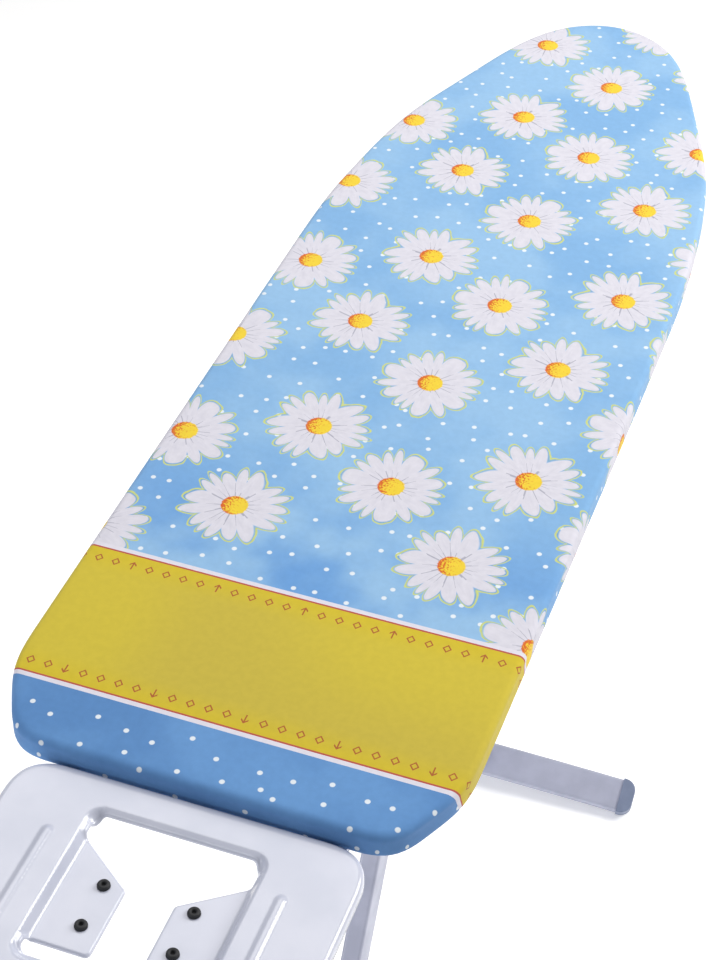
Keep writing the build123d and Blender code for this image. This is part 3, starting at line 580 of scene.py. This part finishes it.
finishOfNode = {
    "vitreous enamel, fired": ["iron_rest_plate"],
    "rubber, moulded": ["rest_bumpers"],
    "powder coat, baked": ["front_leg_tube", "front_foot_bar", "rear_leg_tube_left",
                           "rear_leg_tube_right", "rear_foot_bar", "rest_arm_left",
                           "rest_arm_right"],
    "zinc plated steel": ["rail_left", "rail_right", "rail_screws", "top_axle", "lever_pin",
                          "spring_bracket", "rest_arm_screws", "cross_bolt", "cross_nut",
                          "slide_rod", "release_lever", "front_leg_sleeve"],
    "spring steel, drawn": ["lever_spring"],
    "polypropylene, moulded": ["front_foot_cap_left", "front_foot_cap_right", "lever_grip",
                               "rear_foot_cap_left", "rear_foot_cap_right", "top_axle_caps",
                               "front_leg_plug", "rear_leg_plugs", "slide_rod_caps"],
    "nylon, moulded": ["cross_bushes", "cross_washers", "slide_rod_spacers"],
    "stove paint on sheet steel": ["board_panel", "rim_frame", "rear_beam", "pivot_beam",
                                   "front_beam", "nose_beam"],
}
for name, members in finishOfNode.items():
    for member in members:
        for place in nodes[member].material_slots:
            place.material = material[name]
print("stage: finishes on", sum(len(m) for m in finishOfNode.values()), "nodes")


# board outline, shared by the cover, the padding and the hem

outline = {
    "points": 560,
    "smoothing": 3,
    "rearSlope": 1.3,              # how quickly the side turns into the rear end
    "rearStart": 0.2,
    "mergeWithin": 1e-6,
}


def boardLoop(nodeName, count, passes):
    # even loop round a node seen from above, with its outward directions
    flat = [Vector((v.co.x, v.co.y)) for v in nodes[nodeName].data.vertices]
    hull = [flat[i] for i in convex_hull_2d(flat)]
    area = sum(a.x * b.y - b.x * a.y for a, b in zip(hull, hull[1:] + hull[:1]))
    if area < 0:
        hull.reverse()
    start = min(range(len(hull)), key=lambda i: (round(hull[i].y, 4), -hull[i].x))
    hull = hull[start:] + hull[:start]
    ends = hull[1:] + hull[:1]
    lengths = [(b - a).length for a, b in zip(hull, ends)]
    total = sum(lengths)
    loop, travelled, index = [], 0.0, 0
    for number in range(count):
        target = total * number / count
        while travelled + lengths[index] < target:
            travelled += lengths[index]
            index += 1
        share = (target - travelled) / lengths[index]
        loop.append(hull[index].lerp(ends[index], share))
    for _ in range(passes):
        loop = [(loop[i - 1] + loop[i] * 2 + loop[(i + 1) % count]) / 4 for i in range(count)]
    outward = []
    for i in range(count):
        run = (loop[(i + 1) % count] - loop[i - 1]).normalized()
        outward.append(Vector((run.y, -run.x)))
    return loop, outward, total


swell = [
    # waves per metre across and along, place in the noise, depth in mm
    (5.5, 4.5, 0.3, 0.75),
    (17, 13, 4.1, 0.16),
]


def boardSwell(x, y):
    # soft rise and fall of the padding under the cloth, never above the flat
    fall = 0.0
    for across, along, level, depth in swell:
        fall += depth * mm * (noise.noise(Vector((x * across, y * along, level))) - 1) * 0.5
    return fall


def smoothStep(value):
    value = min(1.0, max(0.0, value))
    return value * value * (3 - 2 * value)


def rearShare(n):
    # 1 where the edge faces the iron rest, 0 along the sides
    return smoothStep(-n.y * outline["rearSlope"] - outline["rearStart"])


def topFill(loop, outward, step, margin):
    # triangles over the flat top, inside the loop
    tree = KDTree(len(loop))
    for i, p in enumerate(loop):
        tree.insert((*p, 0), i)
    tree.balance()
    points = [p.copy() for p in loop]
    low = Vector((min(p.x for p in loop), min(p.y for p in loop)))
    high = Vector((max(p.x for p in loop), max(p.y for p in loop)))
    rows = int((high.y - low.y) / step)
    columns = int((high.x - low.x) / step)
    for row in range(rows + 1):
        for column in range(columns + 1):
            shift = step / 2 if row % 2 else 0
            p = Vector((low.x + column * step + shift, low.y + row * step))
            _, i, _ = tree.find((*p, 0))
            if (p - loop[i]).dot(outward[i]) < -margin:
                points.append(p)
    rim = list(range(len(loop)))
    made = delaunay_2d_cdt(points, [], [rim], fillInside, outline["mergeWithin"])
    return made[0], made[2]


coverCut = {
    "topStep": 9.0,
    "topMargin": 4.0,
    "rollRadius": 6.0,
    "rearRoll": 7.6,               # the square end is rolled more softly
    "rollSteps": 6,
    "sideRows": (0.35, 0.7),       # shares of the side's height
    "cloth": 0.8,
    "hemTurn": 3.5,
    "hemTurnSteps": 4,
    "hemWidth": 29.0,
    "hemRows": (0.2, 0.4, 0.6, 0.8, 1.0),
    "hemRipple": 1.1,
    "hemRipples": 96,
    "hemDrift": 2,                 # how unevenly the ripples follow each other
    "sidePull": 0.9,
    "pullNarrow": 4,               # keeps the pull off the panel's edge
    "pullWaves": 26,               # per metre
    "pullLevel": 7.7,              # place in the noise
    "flatSize": (0.46, 1.30),
}


def makeCover(look, loop, outward):
    low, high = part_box("cover")
    count = len(loop)
    turn = look["hemTurn"] * mm
    sideBottom = low.z + look["cloth"] * mm + turn

    def profileAt(radius):                        # inset from the side, height
        rows = []
        for step in range(look["rollSteps"] + 1):
            a = math.pi / 2 * step / look["rollSteps"]
            rows.append((radius * (1 - math.sin(a)), high.z - radius * (1 - math.cos(a))))
        for share in look["sideRows"]:
            rows.append((0.0, rows[look["rollSteps"]][1] * (1 - share) + sideBottom * share))
        for step in range(look["hemTurnSteps"] + 1):
            a = math.pi / 2 * step / look["hemTurnSteps"]
            rows.append((turn * (1 - math.cos(a)), sideBottom - turn * math.sin(a)))
        for share in look["hemRows"]:
            rows.append((turn + (look["hemWidth"] * mm - turn) * share, sideBottom - turn))
        return rows

    extra = look["rearRoll"] - look["rollRadius"]
    profiles = [profileAt((look["rollRadius"] + rearShare(n) * extra) * mm) for n in outward]
    inner = [p - n * rows[0][0] for p, n, rows in zip(loop, outward, profiles)]
    flatPoints, triangles = topFill(inner, outward, look["topStep"] * mm, look["topMargin"] * mm)
    vertices = [(p.x, p.y, high.z + boardSwell(p.x, p.y)) for p in flatPoints]
    cloth = [(p.x, p.y) for p in flatPoints]
    top = [high.z + boardSwell(p.x, p.y) for p in inner]
    travelled = [0.0] * count
    previousRow = list(range(count))
    faces = [tuple(f) for f in triangles]
    hemStart = look["rollSteps"] + len(look["sideRows"]) + 1
    lastRow = len(profiles[0]) - 1
    for row in range(1, lastRow + 1):
        thisRow = []
        for i in range(count):
            p, n = loop[i], outward[i]
            inset, height = profiles[i][row]
            before = profiles[i][row - 1]
            travelled[i] += math.hypot(inset - before[0], height - before[1])
            depth = (high.z - height) / (high.z - sideBottom)
            wave = noise.noise(Vector((p.x * look["pullWaves"], p.y * look["pullWaves"],
                                       look["pullLevel"])))
            middle = math.sin(math.pi * min(1, max(0, depth))) ** look["pullNarrow"]
            pull = look["sidePull"] * mm * (0.5 + 0.5 * wave) * middle
            lift = 0.0
            if row > hemStart:
                grown = (row - hemStart) / (lastRow - hemStart)
                angle = 2 * math.pi * look["hemRipples"] * i / count + look["hemDrift"] * wave
                lift = look["hemRipple"] * mm * grown * (0.5 + 0.5 * math.sin(angle))
            q = p - n * (inset + pull)
            sink = (top[i] - high.z) * max(0.0, 1 - depth)
            vertices.append((q.x, q.y, height + lift + sink))
            spread = inner[i] + n * travelled[i]
            cloth.append((spread.x, spread.y))
            thisRow.append(len(vertices) - 1)
        for i in range(count):
            j = (i + 1) % count
            faces.append((previousRow[i], thisRow[i], thisRow[j], previousRow[j]))
        previousRow = thisRow
    made = meshObject("coverSheet", vertices, faces, cotton)
    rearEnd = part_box("cover")[0].y
    uv = made.data.uv_layers.new(name="cloth")
    for corner in made.data.loops:
        x, y = cloth[corner.vertex_index]
        uv.data[corner.index].uv = (x, y - rearEnd)
    wall = made.modifiers.new("cloth", "SOLIDIFY")
    wall.thickness = look["cloth"] * mm
    wall.offset = -1
    return made


loop, outward, boardAround = boardLoop("cover", outline["points"], outline["smoothing"])
cover = makeCover(coverCut, loop, outward)
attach(cover, "board")
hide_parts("cover")
print("stage: cover made, around", round(boardAround, 3), "m")


# felt padding under the cover

paddingCut = {
    "clearance": 1.2,              # mm from the cloth's outside at the top
    "round": 4.0,
    "rearRound": 6.0,
    "rearInset": 1.8,
    "topStep": 14.0,
    "topMargin": 5.0,
    "crown": 0.9,                  # how far the top falls before the round starts
    "roundAt": (35, 65),           # degrees, the rows of the round
}


def makePadding(look, loop, outward):
    low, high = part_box("padding")
    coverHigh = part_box("cover")[1].z
    count = len(loop)
    depth = look["round"] * mm
    shares = [rearShare(n) for n in outward]
    rounds = [(look["round"] + share * (look["rearRound"] - look["round"])) * mm for share in shares]
    loop = [p - n * share * look["rearInset"] * mm for p, n, share in zip(loop, outward, shares)]
    inner = [p - n * radius for p, n, radius in zip(loop, outward, rounds)]
    flatPoints, triangles = topFill(inner, outward, look["topStep"] * mm, look["topMargin"] * mm)
    topZ = coverHigh - look["clearance"] * mm
    vertices = [(p.x, p.y, topZ + boardSwell(p.x, p.y)) for p in flatPoints]
    faces = [tuple(f) for f in triangles]
    previousRow = list(range(count))
    crown = look["crown"] * mm
    turns = [math.radians(angle) for angle in look["roundAt"]]
    rows = [(1 - math.sin(a), 1 - math.cos(a)) for a in turns]
    for inset, height in rows + [(0.0, 1.0), (0.0, None)]:
        thisRow = []
        for p, n, radius in zip(loop, outward, rounds):
            q = p - n * radius * inset
            z = low.z if height is None else topZ - crown - (depth - crown) * height
            vertices.append((q.x, q.y, z))
            thisRow.append(len(vertices) - 1)
        for i in range(count):
            j = (i + 1) % count
            faces.append((previousRow[i], thisRow[i], thisRow[j], previousRow[j]))
        previousRow = thisRow
    bottomStart = len(vertices)
    under, underFaces = topFill(loop, outward, look["topStep"] * mm, look["topMargin"] * mm)
    vertices += [(p.x, p.y, low.z) for p in under[count:]]
    known = previousRow + list(range(bottomStart, bottomStart + len(under) - count))
    faces += [tuple(known[i] for i in reversed(f)) for f in underFaces]
    return meshObject("paddingFoam", vertices, faces, material["needled felt, polyester"])


padLoop, padOutward, _ = boardLoop("padding", outline["points"], outline["smoothing"])
padding = makePadding(paddingCut, padLoop, padOutward)
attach(padding, "board")
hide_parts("padding")
print("stage: padding made")


# woven elastic round the hem

elasticCut = {
    "inset": 25.2,
    "width": 6.0,
    "thick": 1.4,
    "soft": 0.35,                  # bevel of the band's edges
    "below": 0.1,                  # under the cloth
    "ribPitch": 2.5,               # ribs of the weave, drawn a little coarse
    "ribDepth": 0.3,
    "ribStrength": 0.6,
    "rough": 0.85,
    "hex": "#f2f1ee", "shadeHex": "#cfcdc8",
}


def makeElasticWeave(look):
    # polyester-covered elastic, woven: matt white with fine ribs along its length
    made, tree, shader = newMaterial("woven elastic, matt")
    where = addNode(tree, "ShaderNodeTexCoord").outputs["Object"]
    ribs = addNode(tree, "ShaderNodeTexVoronoi", {"Vector": where, "Scale": 1 / (look["ribPitch"] * mm)})
    tone = addNode(tree, "ShaderNodeMix", [ribs.outputs["Distance"], linearColour(look["hex"]),
                                           linearColour(look["shadeHex"])], data_type="RGBA")
    bump = addNode(tree, "ShaderNodeBump", {"Height": ribs.outputs["Distance"],
                                            "Strength": look["ribStrength"],
                                            "Distance": look["ribDepth"] * mm})
    tree.links.new(tone.outputs[2], shader.inputs["Base Color"])
    tree.links.new(bump.outputs[0], shader.inputs["Normal"])
    shader.inputs["Roughness"].default_value = look["rough"]
    return made


def makeElastic(look, loop, outward, weave):
    low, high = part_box("hem_elastic")
    near, far = look["inset"] * mm, (look["inset"] + look["width"]) * mm
    top, bottom = high.z - look["below"] * mm, high.z - look["thick"] * mm
    soft = look["soft"] * mm
    section = [(near + soft, top), (far - soft, top), (far, top - soft), (far, bottom + soft),
               (far - soft, bottom), (near + soft, bottom), (near, bottom + soft), (near, top - soft)]
    count, size = len(loop), len(section)
    vertices, faces = [], []
    for i, (p, n) in enumerate(zip(loop, outward)):
        for inset, z in section:
            q = p - n * inset
            vertices.append((q.x, q.y, z))
    for i in range(count):
        j = (i + 1) % count
        for k in range(size):
            m = (k + 1) % size
            faces.append((i * size + k, i * size + m, j * size + m, j * size + k))
    made = meshObject("hemElastic", vertices, faces, weave)
    faceOutward(made)
    return made


elastic = makeElastic(elasticCut, loop, outward, makeElasticWeave(elasticCut))
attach(elastic, "board")
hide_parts("hem_elastic")
print("stage: hem elastic made")


# pressed iron rest

restPress = {
    "step": 2.0,                   # mesh spacing
    "sheet": 1.2,
    "corner": 37.0,
    "edgeRound": 5.0,
    "edgeDrop": 10.0,
    "recessFront": 29.0,           # from the front edge
    "recessRear": 168.0,
    "recessHalf": 70.5,
    "recessCorner": 12.0,
    "recessDepth": 10.0,
    "wallRun": 7.0,                # how far the pressed wall slopes
    "wallLead": 1.5,               # and how far it reaches past the recess's outline
    "ribAcross": 91.0,
    "ribFrom": 62.5,
    "ribTo": 145.5,
    "ribHalf": 4.6,
    "ribHeight": 2.3,
    "ribLead": 0.8,
    "lip": 2.4,                    # turned-down edge round the opening
    "lipDrop": 3.0,
    "turnSteps": 5,
    "gridMargin": 0.7,             # of the mesh spacing, kept off the outlines
    "mergeWithin": 1e-5,
    "openingCorner": 5.0,
    "opening": [(60.0, 32.5), (66.0, 43.0), (66.0, 51.0), (19.0, 85.0), (19.0, 146.0), (66.0, 146.0),
                (66.0, 158.0)],    # right half, from the middle and the front edge
}


def roundedLoop(corners, radius, spacing):
    # closed loop through the corners with a soft curve at each, in shorter steps on a larger radius
    fewest, perMm, mostOfSide = 7, 0.8, 0.49
    loop = []
    count = len(corners)
    for i in range(count):
        a, b, c = corners[i - 1], corners[i], corners[(i + 1) % count]
        toA, toC = (a - b).normalized(), (c - b).normalized()
        half = math.acos(max(-1, min(1, toA.dot(toC)))) / 2
        reach = min(radius / math.tan(half), (a - b).length * mostOfSide, (c - b).length * mostOfSide)
        start, end = b + toA * reach, b + toC * reach
        steps = max(fewest, round(radius * perMm))
        for k in range(steps + 1):
            t = k / steps
            loop.append(start * (1 - t) ** 2 + b * 2 * t * (1 - t) + end * t * t)
    even = []
    for i in range(len(loop)):
        a, b = loop[i], loop[(i + 1) % len(loop)]
        parts = max(1, round((b - a).length / spacing))
        even += [a.lerp(b, k / parts) for k in range(parts)]
    return even


def loopOutward(loop):
    count = len(loop)
    found = []
    for i in range(count):
        run = (loop[(i + 1) % count] - loop[i - 1]).normalized()
        found.append(Vector((run.y, -run.x)))
    return found


def roundedBoxGap(x, y, halfX, halfY, radius):
    # distance outside a rounded rectangle, negative inside
    a, b = abs(x) - halfX + radius, abs(y) - halfY + radius
    return math.hypot(max(a, 0), max(b, 0)) + min(max(a, b), 0) - radius


def restDrop(look, x, back):
    # height in mm above the flat top, at a place across and back from the front edge
    middle = (look["recessFront"] + look["recessRear"]) / 2
    halfLong = (look["recessRear"] - look["recessFront"]) / 2
    gap = roundedBoxGap(x, back - middle, look["recessHalf"], halfLong, look["recessCorner"])
    lead = look["wallLead"]
    height = -look["recessDepth"] * smoothStep((lead - gap) / (look["wallRun"] + lead))
    along = min(look["ribTo"], max(look["ribFrom"], back))
    ribGap = math.hypot(abs(x) - look["ribAcross"], back - along)
    height += look["ribHeight"] * smoothStep((look["ribHalf"] + look["ribLead"] - ribGap) / look["ribHalf"])
    return height


def flatTopOfRest(look):
    # the plate's lowest face is under its recess; its ribs stand above the flat top
    low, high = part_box("iron_rest_plate")
    return low.z + (look["recessDepth"] + look["sheet"]) * mm


def makeRestPlate(look):
    low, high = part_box("iron_rest_plate")
    halfX = high.x / mm
    long = (high.y - low.y) / mm
    topZ = flatTopOfRest(look)
    step = look["step"]
    radius = look["edgeRound"]
    rim = [Vector((halfX, 0)), Vector((halfX, long)), Vector((-halfX, long)), Vector((-halfX, 0))]
    outer = roundedLoop(rim, look["corner"], step)
    outerOut = loopOutward(outer)
    right = [Vector(p) for p in look["opening"]]
    holeCorners = right + [Vector((-p.x, p.y)) for p in reversed(right)]
    hole = roundedLoop(holeCorners, look["openingCorner"], step)
    holeOut = loopOutward(hole)                   # points out of the hole, into the sheet
    outerStart = [p - n * radius for p, n in zip(outer, outerOut)]
    holeStart = [p + n * look["lip"] for p, n in zip(hole, holeOut)]
    points = outerStart + holeStart
    edges = [(i, (i + 1) % len(outer)) for i in range(len(outer))]
    edges += [(len(outer) + i, len(outer) + (i + 1) % len(hole)) for i in range(len(hole))]
    finder = KDTree(len(hole))
    for i, p in enumerate(holeStart):
        finder.insert((*p, 0), i)
    finder.balance()

    def clearOfHole(p, margin):
        _, i, _ = finder.find((*p, 0))
        return (p - holeStart[i]).dot(holeOut[i]) > margin

    margin = step * look["gridMargin"]
    for row in range(int(long / step) + 1):
        for column in range(-int(halfX / step), int(halfX / step) + 1):
            p = Vector(((column + (0.5 if row % 2 else 0)) * step, row * step))
            gap = roundedBoxGap(p.x, p.y - long / 2, halfX - radius, long / 2 - radius,
                                look["corner"] - radius)
            if gap < -margin and clearOfHole(p, margin):
                points.append(p)
    made = delaunay_2d_cdt(points, edges, [], fillInside, look["mergeWithin"])
    flat = made[0]
    faces = []
    for face in made[2]:
        centre = (flat[face[0]] + flat[face[1]] + flat[face[2]]) / 3
        if clearOfHole(centre, 0.0):              # leaves the opening free
            faces.append(tuple(reversed(face)))
    vertices = [Vector((p.x, p.y, restDrop(look, p.x, p.y))) for p in flat]

    def turnDown(start, loop, direction, radius, drop):
        previous = start
        steps = look["turnSteps"]
        rows = [(radius * math.sin(a), -radius * (1 - math.cos(a)))
                for a in (math.pi / 2 * k / steps for k in range(1, steps + 1))]
        rows += [(radius, -drop)]
        base = [vertices[i].z for i in start]
        for reach, fall in rows:
            current = []
            for i, (p, n) in enumerate(zip(loop, direction)):
                q = p + n * (reach - radius)
                vertices.append(Vector((q.x, q.y, base[i] + fall)))
                current.append(len(vertices) - 1)
            for i in range(len(loop)):
                j = (i + 1) % len(loop)
                faces.append((previous[i], previous[j], current[j], current[i]))
            previous = current

    turnDown(list(range(len(outer))), outer, outerOut, radius, look["edgeDrop"])
    holeIndex = [len(outer) + i for i in range(len(hole))]
    turnDown(holeIndex, hole, [-n for n in holeOut], look["lip"], look["lipDrop"])
    placed = [(v.x * mm, high.y - v.y * mm, topZ + v.z * mm) for v in vertices]
    made = meshObject("restPlate", placed, faces, material["vitreous enamel, fired"])
    faceOutward(made)
    if sum(f.normal.z * f.area for f in made.data.polygons) < 0:
        made.data.flip_normals()
    wall = made.modifiers.new("sheet", "SOLIDIFY")
    wall.thickness = look["sheet"] * mm
    wall.offset = -1
    return made


rest = makeRestPlate(restPress)
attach(rest, "board")
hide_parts("iron_rest_plate")
print("stage: iron rest pressed")


# rubber buttons of the iron rest, set out by nodes

buttonShape = {
    "across": 35.0,
    "back": [87.0, 124.0],         # from the front edge
    "profile": [(0.0, 0.5), (1.5, 0.5), (1.6, 2.3), (2.0, 2.9), (2.8, 3.3), (3.8, 3.1), (4.5, 2.5),
                (4.9, 1.6), (5.0, 0.2), (4.6, -0.1), (0.0, -0.1)],
    "sides": 28,
    "mergeWithin": 0.01,
}


def turnedShape(name, profile, sides, mergeWithin, finish):
    # a profile turned round the upright axis
    work = bmesh.new()
    chain = [work.verts.new((r * mm, 0, z * mm)) for r, z in profile]
    for a, b in zip(chain, chain[1:]):
        work.edges.new((a, b))
    bmesh.ops.spin(work, geom=work.verts[:] + work.edges[:], axis=(0, 0, 1), cent=(0, 0, 0),
                   angle=2 * math.pi, steps=sides, use_merge=True)
    bmesh.ops.remove_doubles(work, verts=work.verts, dist=mergeWithin * mm)
    bmesh.ops.recalc_face_normals(work, faces=work.faces)
    mesh = bpy.data.meshes.new(name)
    work.to_mesh(mesh)
    work.free()
    mesh.materials.append(finish)
    mesh.polygons.foreach_set("use_smooth", [True] * len(mesh.polygons))
    made = bpy.data.objects.new(name, mesh)
    bpy.context.scene.collection.objects.link(made)
    return made


def bakeNodes(holder, tree, values, name, finish):
    # run a node tree on the holder and keep the result as a plain mesh
    change = holder.modifiers.new(tree.name, "NODES")
    change.node_group = tree
    for item in tree.interface.items_tree:
        if item.item_type == "SOCKET" and item.in_out == "INPUT" and item.name in values:
            change[item.identifier] = values[item.name]
    graph = bpy.context.evaluated_depsgraph_get()
    graph.update()
    mesh = bpy.data.meshes.new_from_object(holder.evaluated_get(graph))
    mesh.name = name
    holder.modifiers.remove(change)
    bpy.data.objects.remove(holder)
    made = bpy.data.objects.new(name, mesh)
    bpy.context.scene.collection.objects.link(made)
    if not mesh.materials:
        mesh.materials.append(finish)
    mesh.polygons.foreach_set("use_smooth", [True] * len(mesh.polygons))
    return made


def newTree(name, inputs):
    tree = bpy.data.node_groups.new(name, "GeometryNodeTree")
    tree.interface.new_socket("Geometry", in_out="INPUT", socket_type="NodeSocketGeometry")
    for label, kind in inputs:
        tree.interface.new_socket(label, in_out="INPUT", socket_type=kind)
    tree.interface.new_socket("Geometry", in_out="OUTPUT", socket_type="NodeSocketGeometry")
    return tree, addNode(tree, "NodeGroupInput")


def makeButtons(look):
    rubber = material["rubber, moulded"]
    button = turnedShape("buttonMould", look["profile"], look["sides"], look["mergeWithin"], rubber)
    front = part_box("iron_rest_plate")[1].y
    floorZ = flatTopOfRest(restPress) - restPress["recessDepth"] * mm
    spots = [(side * look["across"] * mm, front - back * mm, floorZ)
             for side in (-1, 1) for back in look["back"]]
    holder = meshObject("buttonSpots", spots, [], rubber)
    tree, given = newTree("setButtons", [("Button", "NodeSocketObject"), ("Rubber", "NodeSocketMaterial")])
    shape = addNode(tree, "GeometryNodeObjectInfo", {"Object": given.outputs["Button"]})
    spread = addNode(tree, "GeometryNodeInstanceOnPoints",
                     {"Points": given.outputs["Geometry"], "Instance": shape.outputs["Geometry"]})
    real = addNode(tree, "GeometryNodeRealizeInstances", {"Geometry": spread})
    done = addNode(tree, "GeometryNodeSetMaterial",
                   {"Geometry": real, "Material": given.outputs["Rubber"]})
    addNode(tree, "NodeGroupOutput", {"Geometry": done})
    made = bakeNodes(holder, tree, {"Button": button, "Rubber": rubber}, "restButtons", rubber)
    bpy.data.objects.remove(button)
    return made


buttons = makeButtons(buttonShape)
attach(buttons, "board")
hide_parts("rest_bumpers")
print("stage: buttons set")


# stitches that hold the elastic in the hem, laid by nodes

stitchRun = {
    "inset": 22.5,                 # from the board's side
    "pitch": 6.0,
    "length": 4.2,
    "thread": 0.9,                 # thicker than real thread, so that it shows
    "sides": 6,
    "rings": 4,
    "twistPitch": 1.2,
    "rough": 0.5,
    "hex": "#f4f4f2", "shadeHex": "#d9dbe2",
}


def makeStitches(look, loop, outward):
    thread, tree, shader = newMaterial("polyester thread, twisted")  # smooth and slightly shiny
    where = addNode(tree, "ShaderNodeTexCoord").outputs["Object"]
    twist = addNode(tree, "ShaderNodeTexNoise",
                    {"Vector": where, "Scale": 1 / (look["twistPitch"] * mm)})
    tone = addNode(tree, "ShaderNodeMix",
                   [twist, linearColour(look["hex"]), linearColour(look["shadeHex"])], data_type="RGBA")
    tree.links.new(tone.outputs[2], shader.inputs["Base Color"])
    shader.inputs["Roughness"].default_value = look["rough"]
    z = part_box("cover")[0].z
    path = [(*(p - n * look["inset"] * mm), z) for p, n in zip(loop, outward)]
    mesh = bpy.data.meshes.new("stitchPath")
    count = len(path)
    mesh.from_pydata(path, [(i, (i + 1) % count) for i in range(count)], [])
    holder = bpy.data.objects.new("stitchPath", mesh)
    bpy.context.scene.collection.objects.link(holder)
    tree, given = newTree("layStitches", [("Pitch", "NodeSocketFloat"), ("Length", "NodeSocketFloat"),
                                          ("Thread", "NodeSocketFloat"),
                                          ("Yarn", "NodeSocketMaterial")])
    run = addNode(tree, "GeometryNodeMeshToCurve", {"Mesh": given.outputs["Geometry"]})
    even = addNode(tree, "GeometryNodeResampleCurve", {"Curve": run}, mode="LENGTH")
    tree.links.new(given.outputs["Pitch"], even.inputs["Length"])
    ball = addNode(tree, "GeometryNodeMeshUVSphere",
                   {"Segments": look["sides"], "Rings": look["rings"], "Radius": 0.5})
    size = addNode(tree, "ShaderNodeCombineXYZ", [given.outputs["Thread"], given.outputs["Thread"],
                                                  given.outputs["Length"]])
    grain = addNode(tree, "GeometryNodeTransform", {"Geometry": ball.outputs["Mesh"], "Scale": size})
    heading = addNode(tree, "GeometryNodeInputTangent")
    turn = addNode(tree, "FunctionNodeAlignRotationToVector", {"Vector": heading}, axis="Z")
    laid = addNode(tree, "GeometryNodeInstanceOnPoints",
                   {"Points": even, "Instance": grain, "Rotation": turn})
    real = addNode(tree, "GeometryNodeRealizeInstances", {"Geometry": laid})
    done = addNode(tree, "GeometryNodeSetMaterial",
                   {"Geometry": real, "Material": given.outputs["Yarn"]})
    addNode(tree, "NodeGroupOutput", {"Geometry": done})
    values = {"Pitch": look["pitch"] * mm, "Length": look["length"] * mm,
              "Thread": look["thread"] * mm, "Yarn": thread}
    return bakeNodes(holder, tree, values, "hemStitches", thread)


stitches = makeStitches(stitchRun, loop, outward)
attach(stitches, "board")
print("stage: stitches laid", len(stitches.data.polygons), "faces")


# return spring, with the share of its length it would keep at the lever's upper limit

springCut = {
    "leverTurn": 2.5,              # degrees, the hinge's upper limit
    "room": 0.4,                   # kept between the last coil and the lever
    "mergeWithin": 0.0001,
}


def makeSpring(look):
    source = nodes["lever_spring"]
    mesh = source.data.copy()
    mesh.transform(source.matrix_world)
    work = bmesh.new()
    work.from_mesh(mesh)
    bmesh.ops.remove_doubles(work, verts=work.verts, dist=look["mergeWithin"] * mm)
    work.to_mesh(mesh)
    work.free()
    made = bpy.data.objects.new("returnSpring", mesh)
    bpy.context.scene.collection.objects.link(made)
    mesh.materials.clear()
    mesh.materials.append(material["spring steel, drawn"])
    low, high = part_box("lever_spring")
    pinLow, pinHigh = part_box("lever_pin")
    middle = (low + high) / 2
    arm = abs((pinLow.y + pinHigh.y) / 2 - middle.y)
    tall = high.z - low.z
    lift = arm * math.tan(math.radians(look["leverTurn"])) + look["room"] * mm
    anchor = (middle.x, middle.y, high.z)
    return made, anchor, 1 - lift / tall


spring, springTop, springKeep = makeSpring(springCut)
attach(spring, "board")
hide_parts("lever_spring")
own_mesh(spring)
print("stage: return spring made, keeps", round(springKeep, 3))
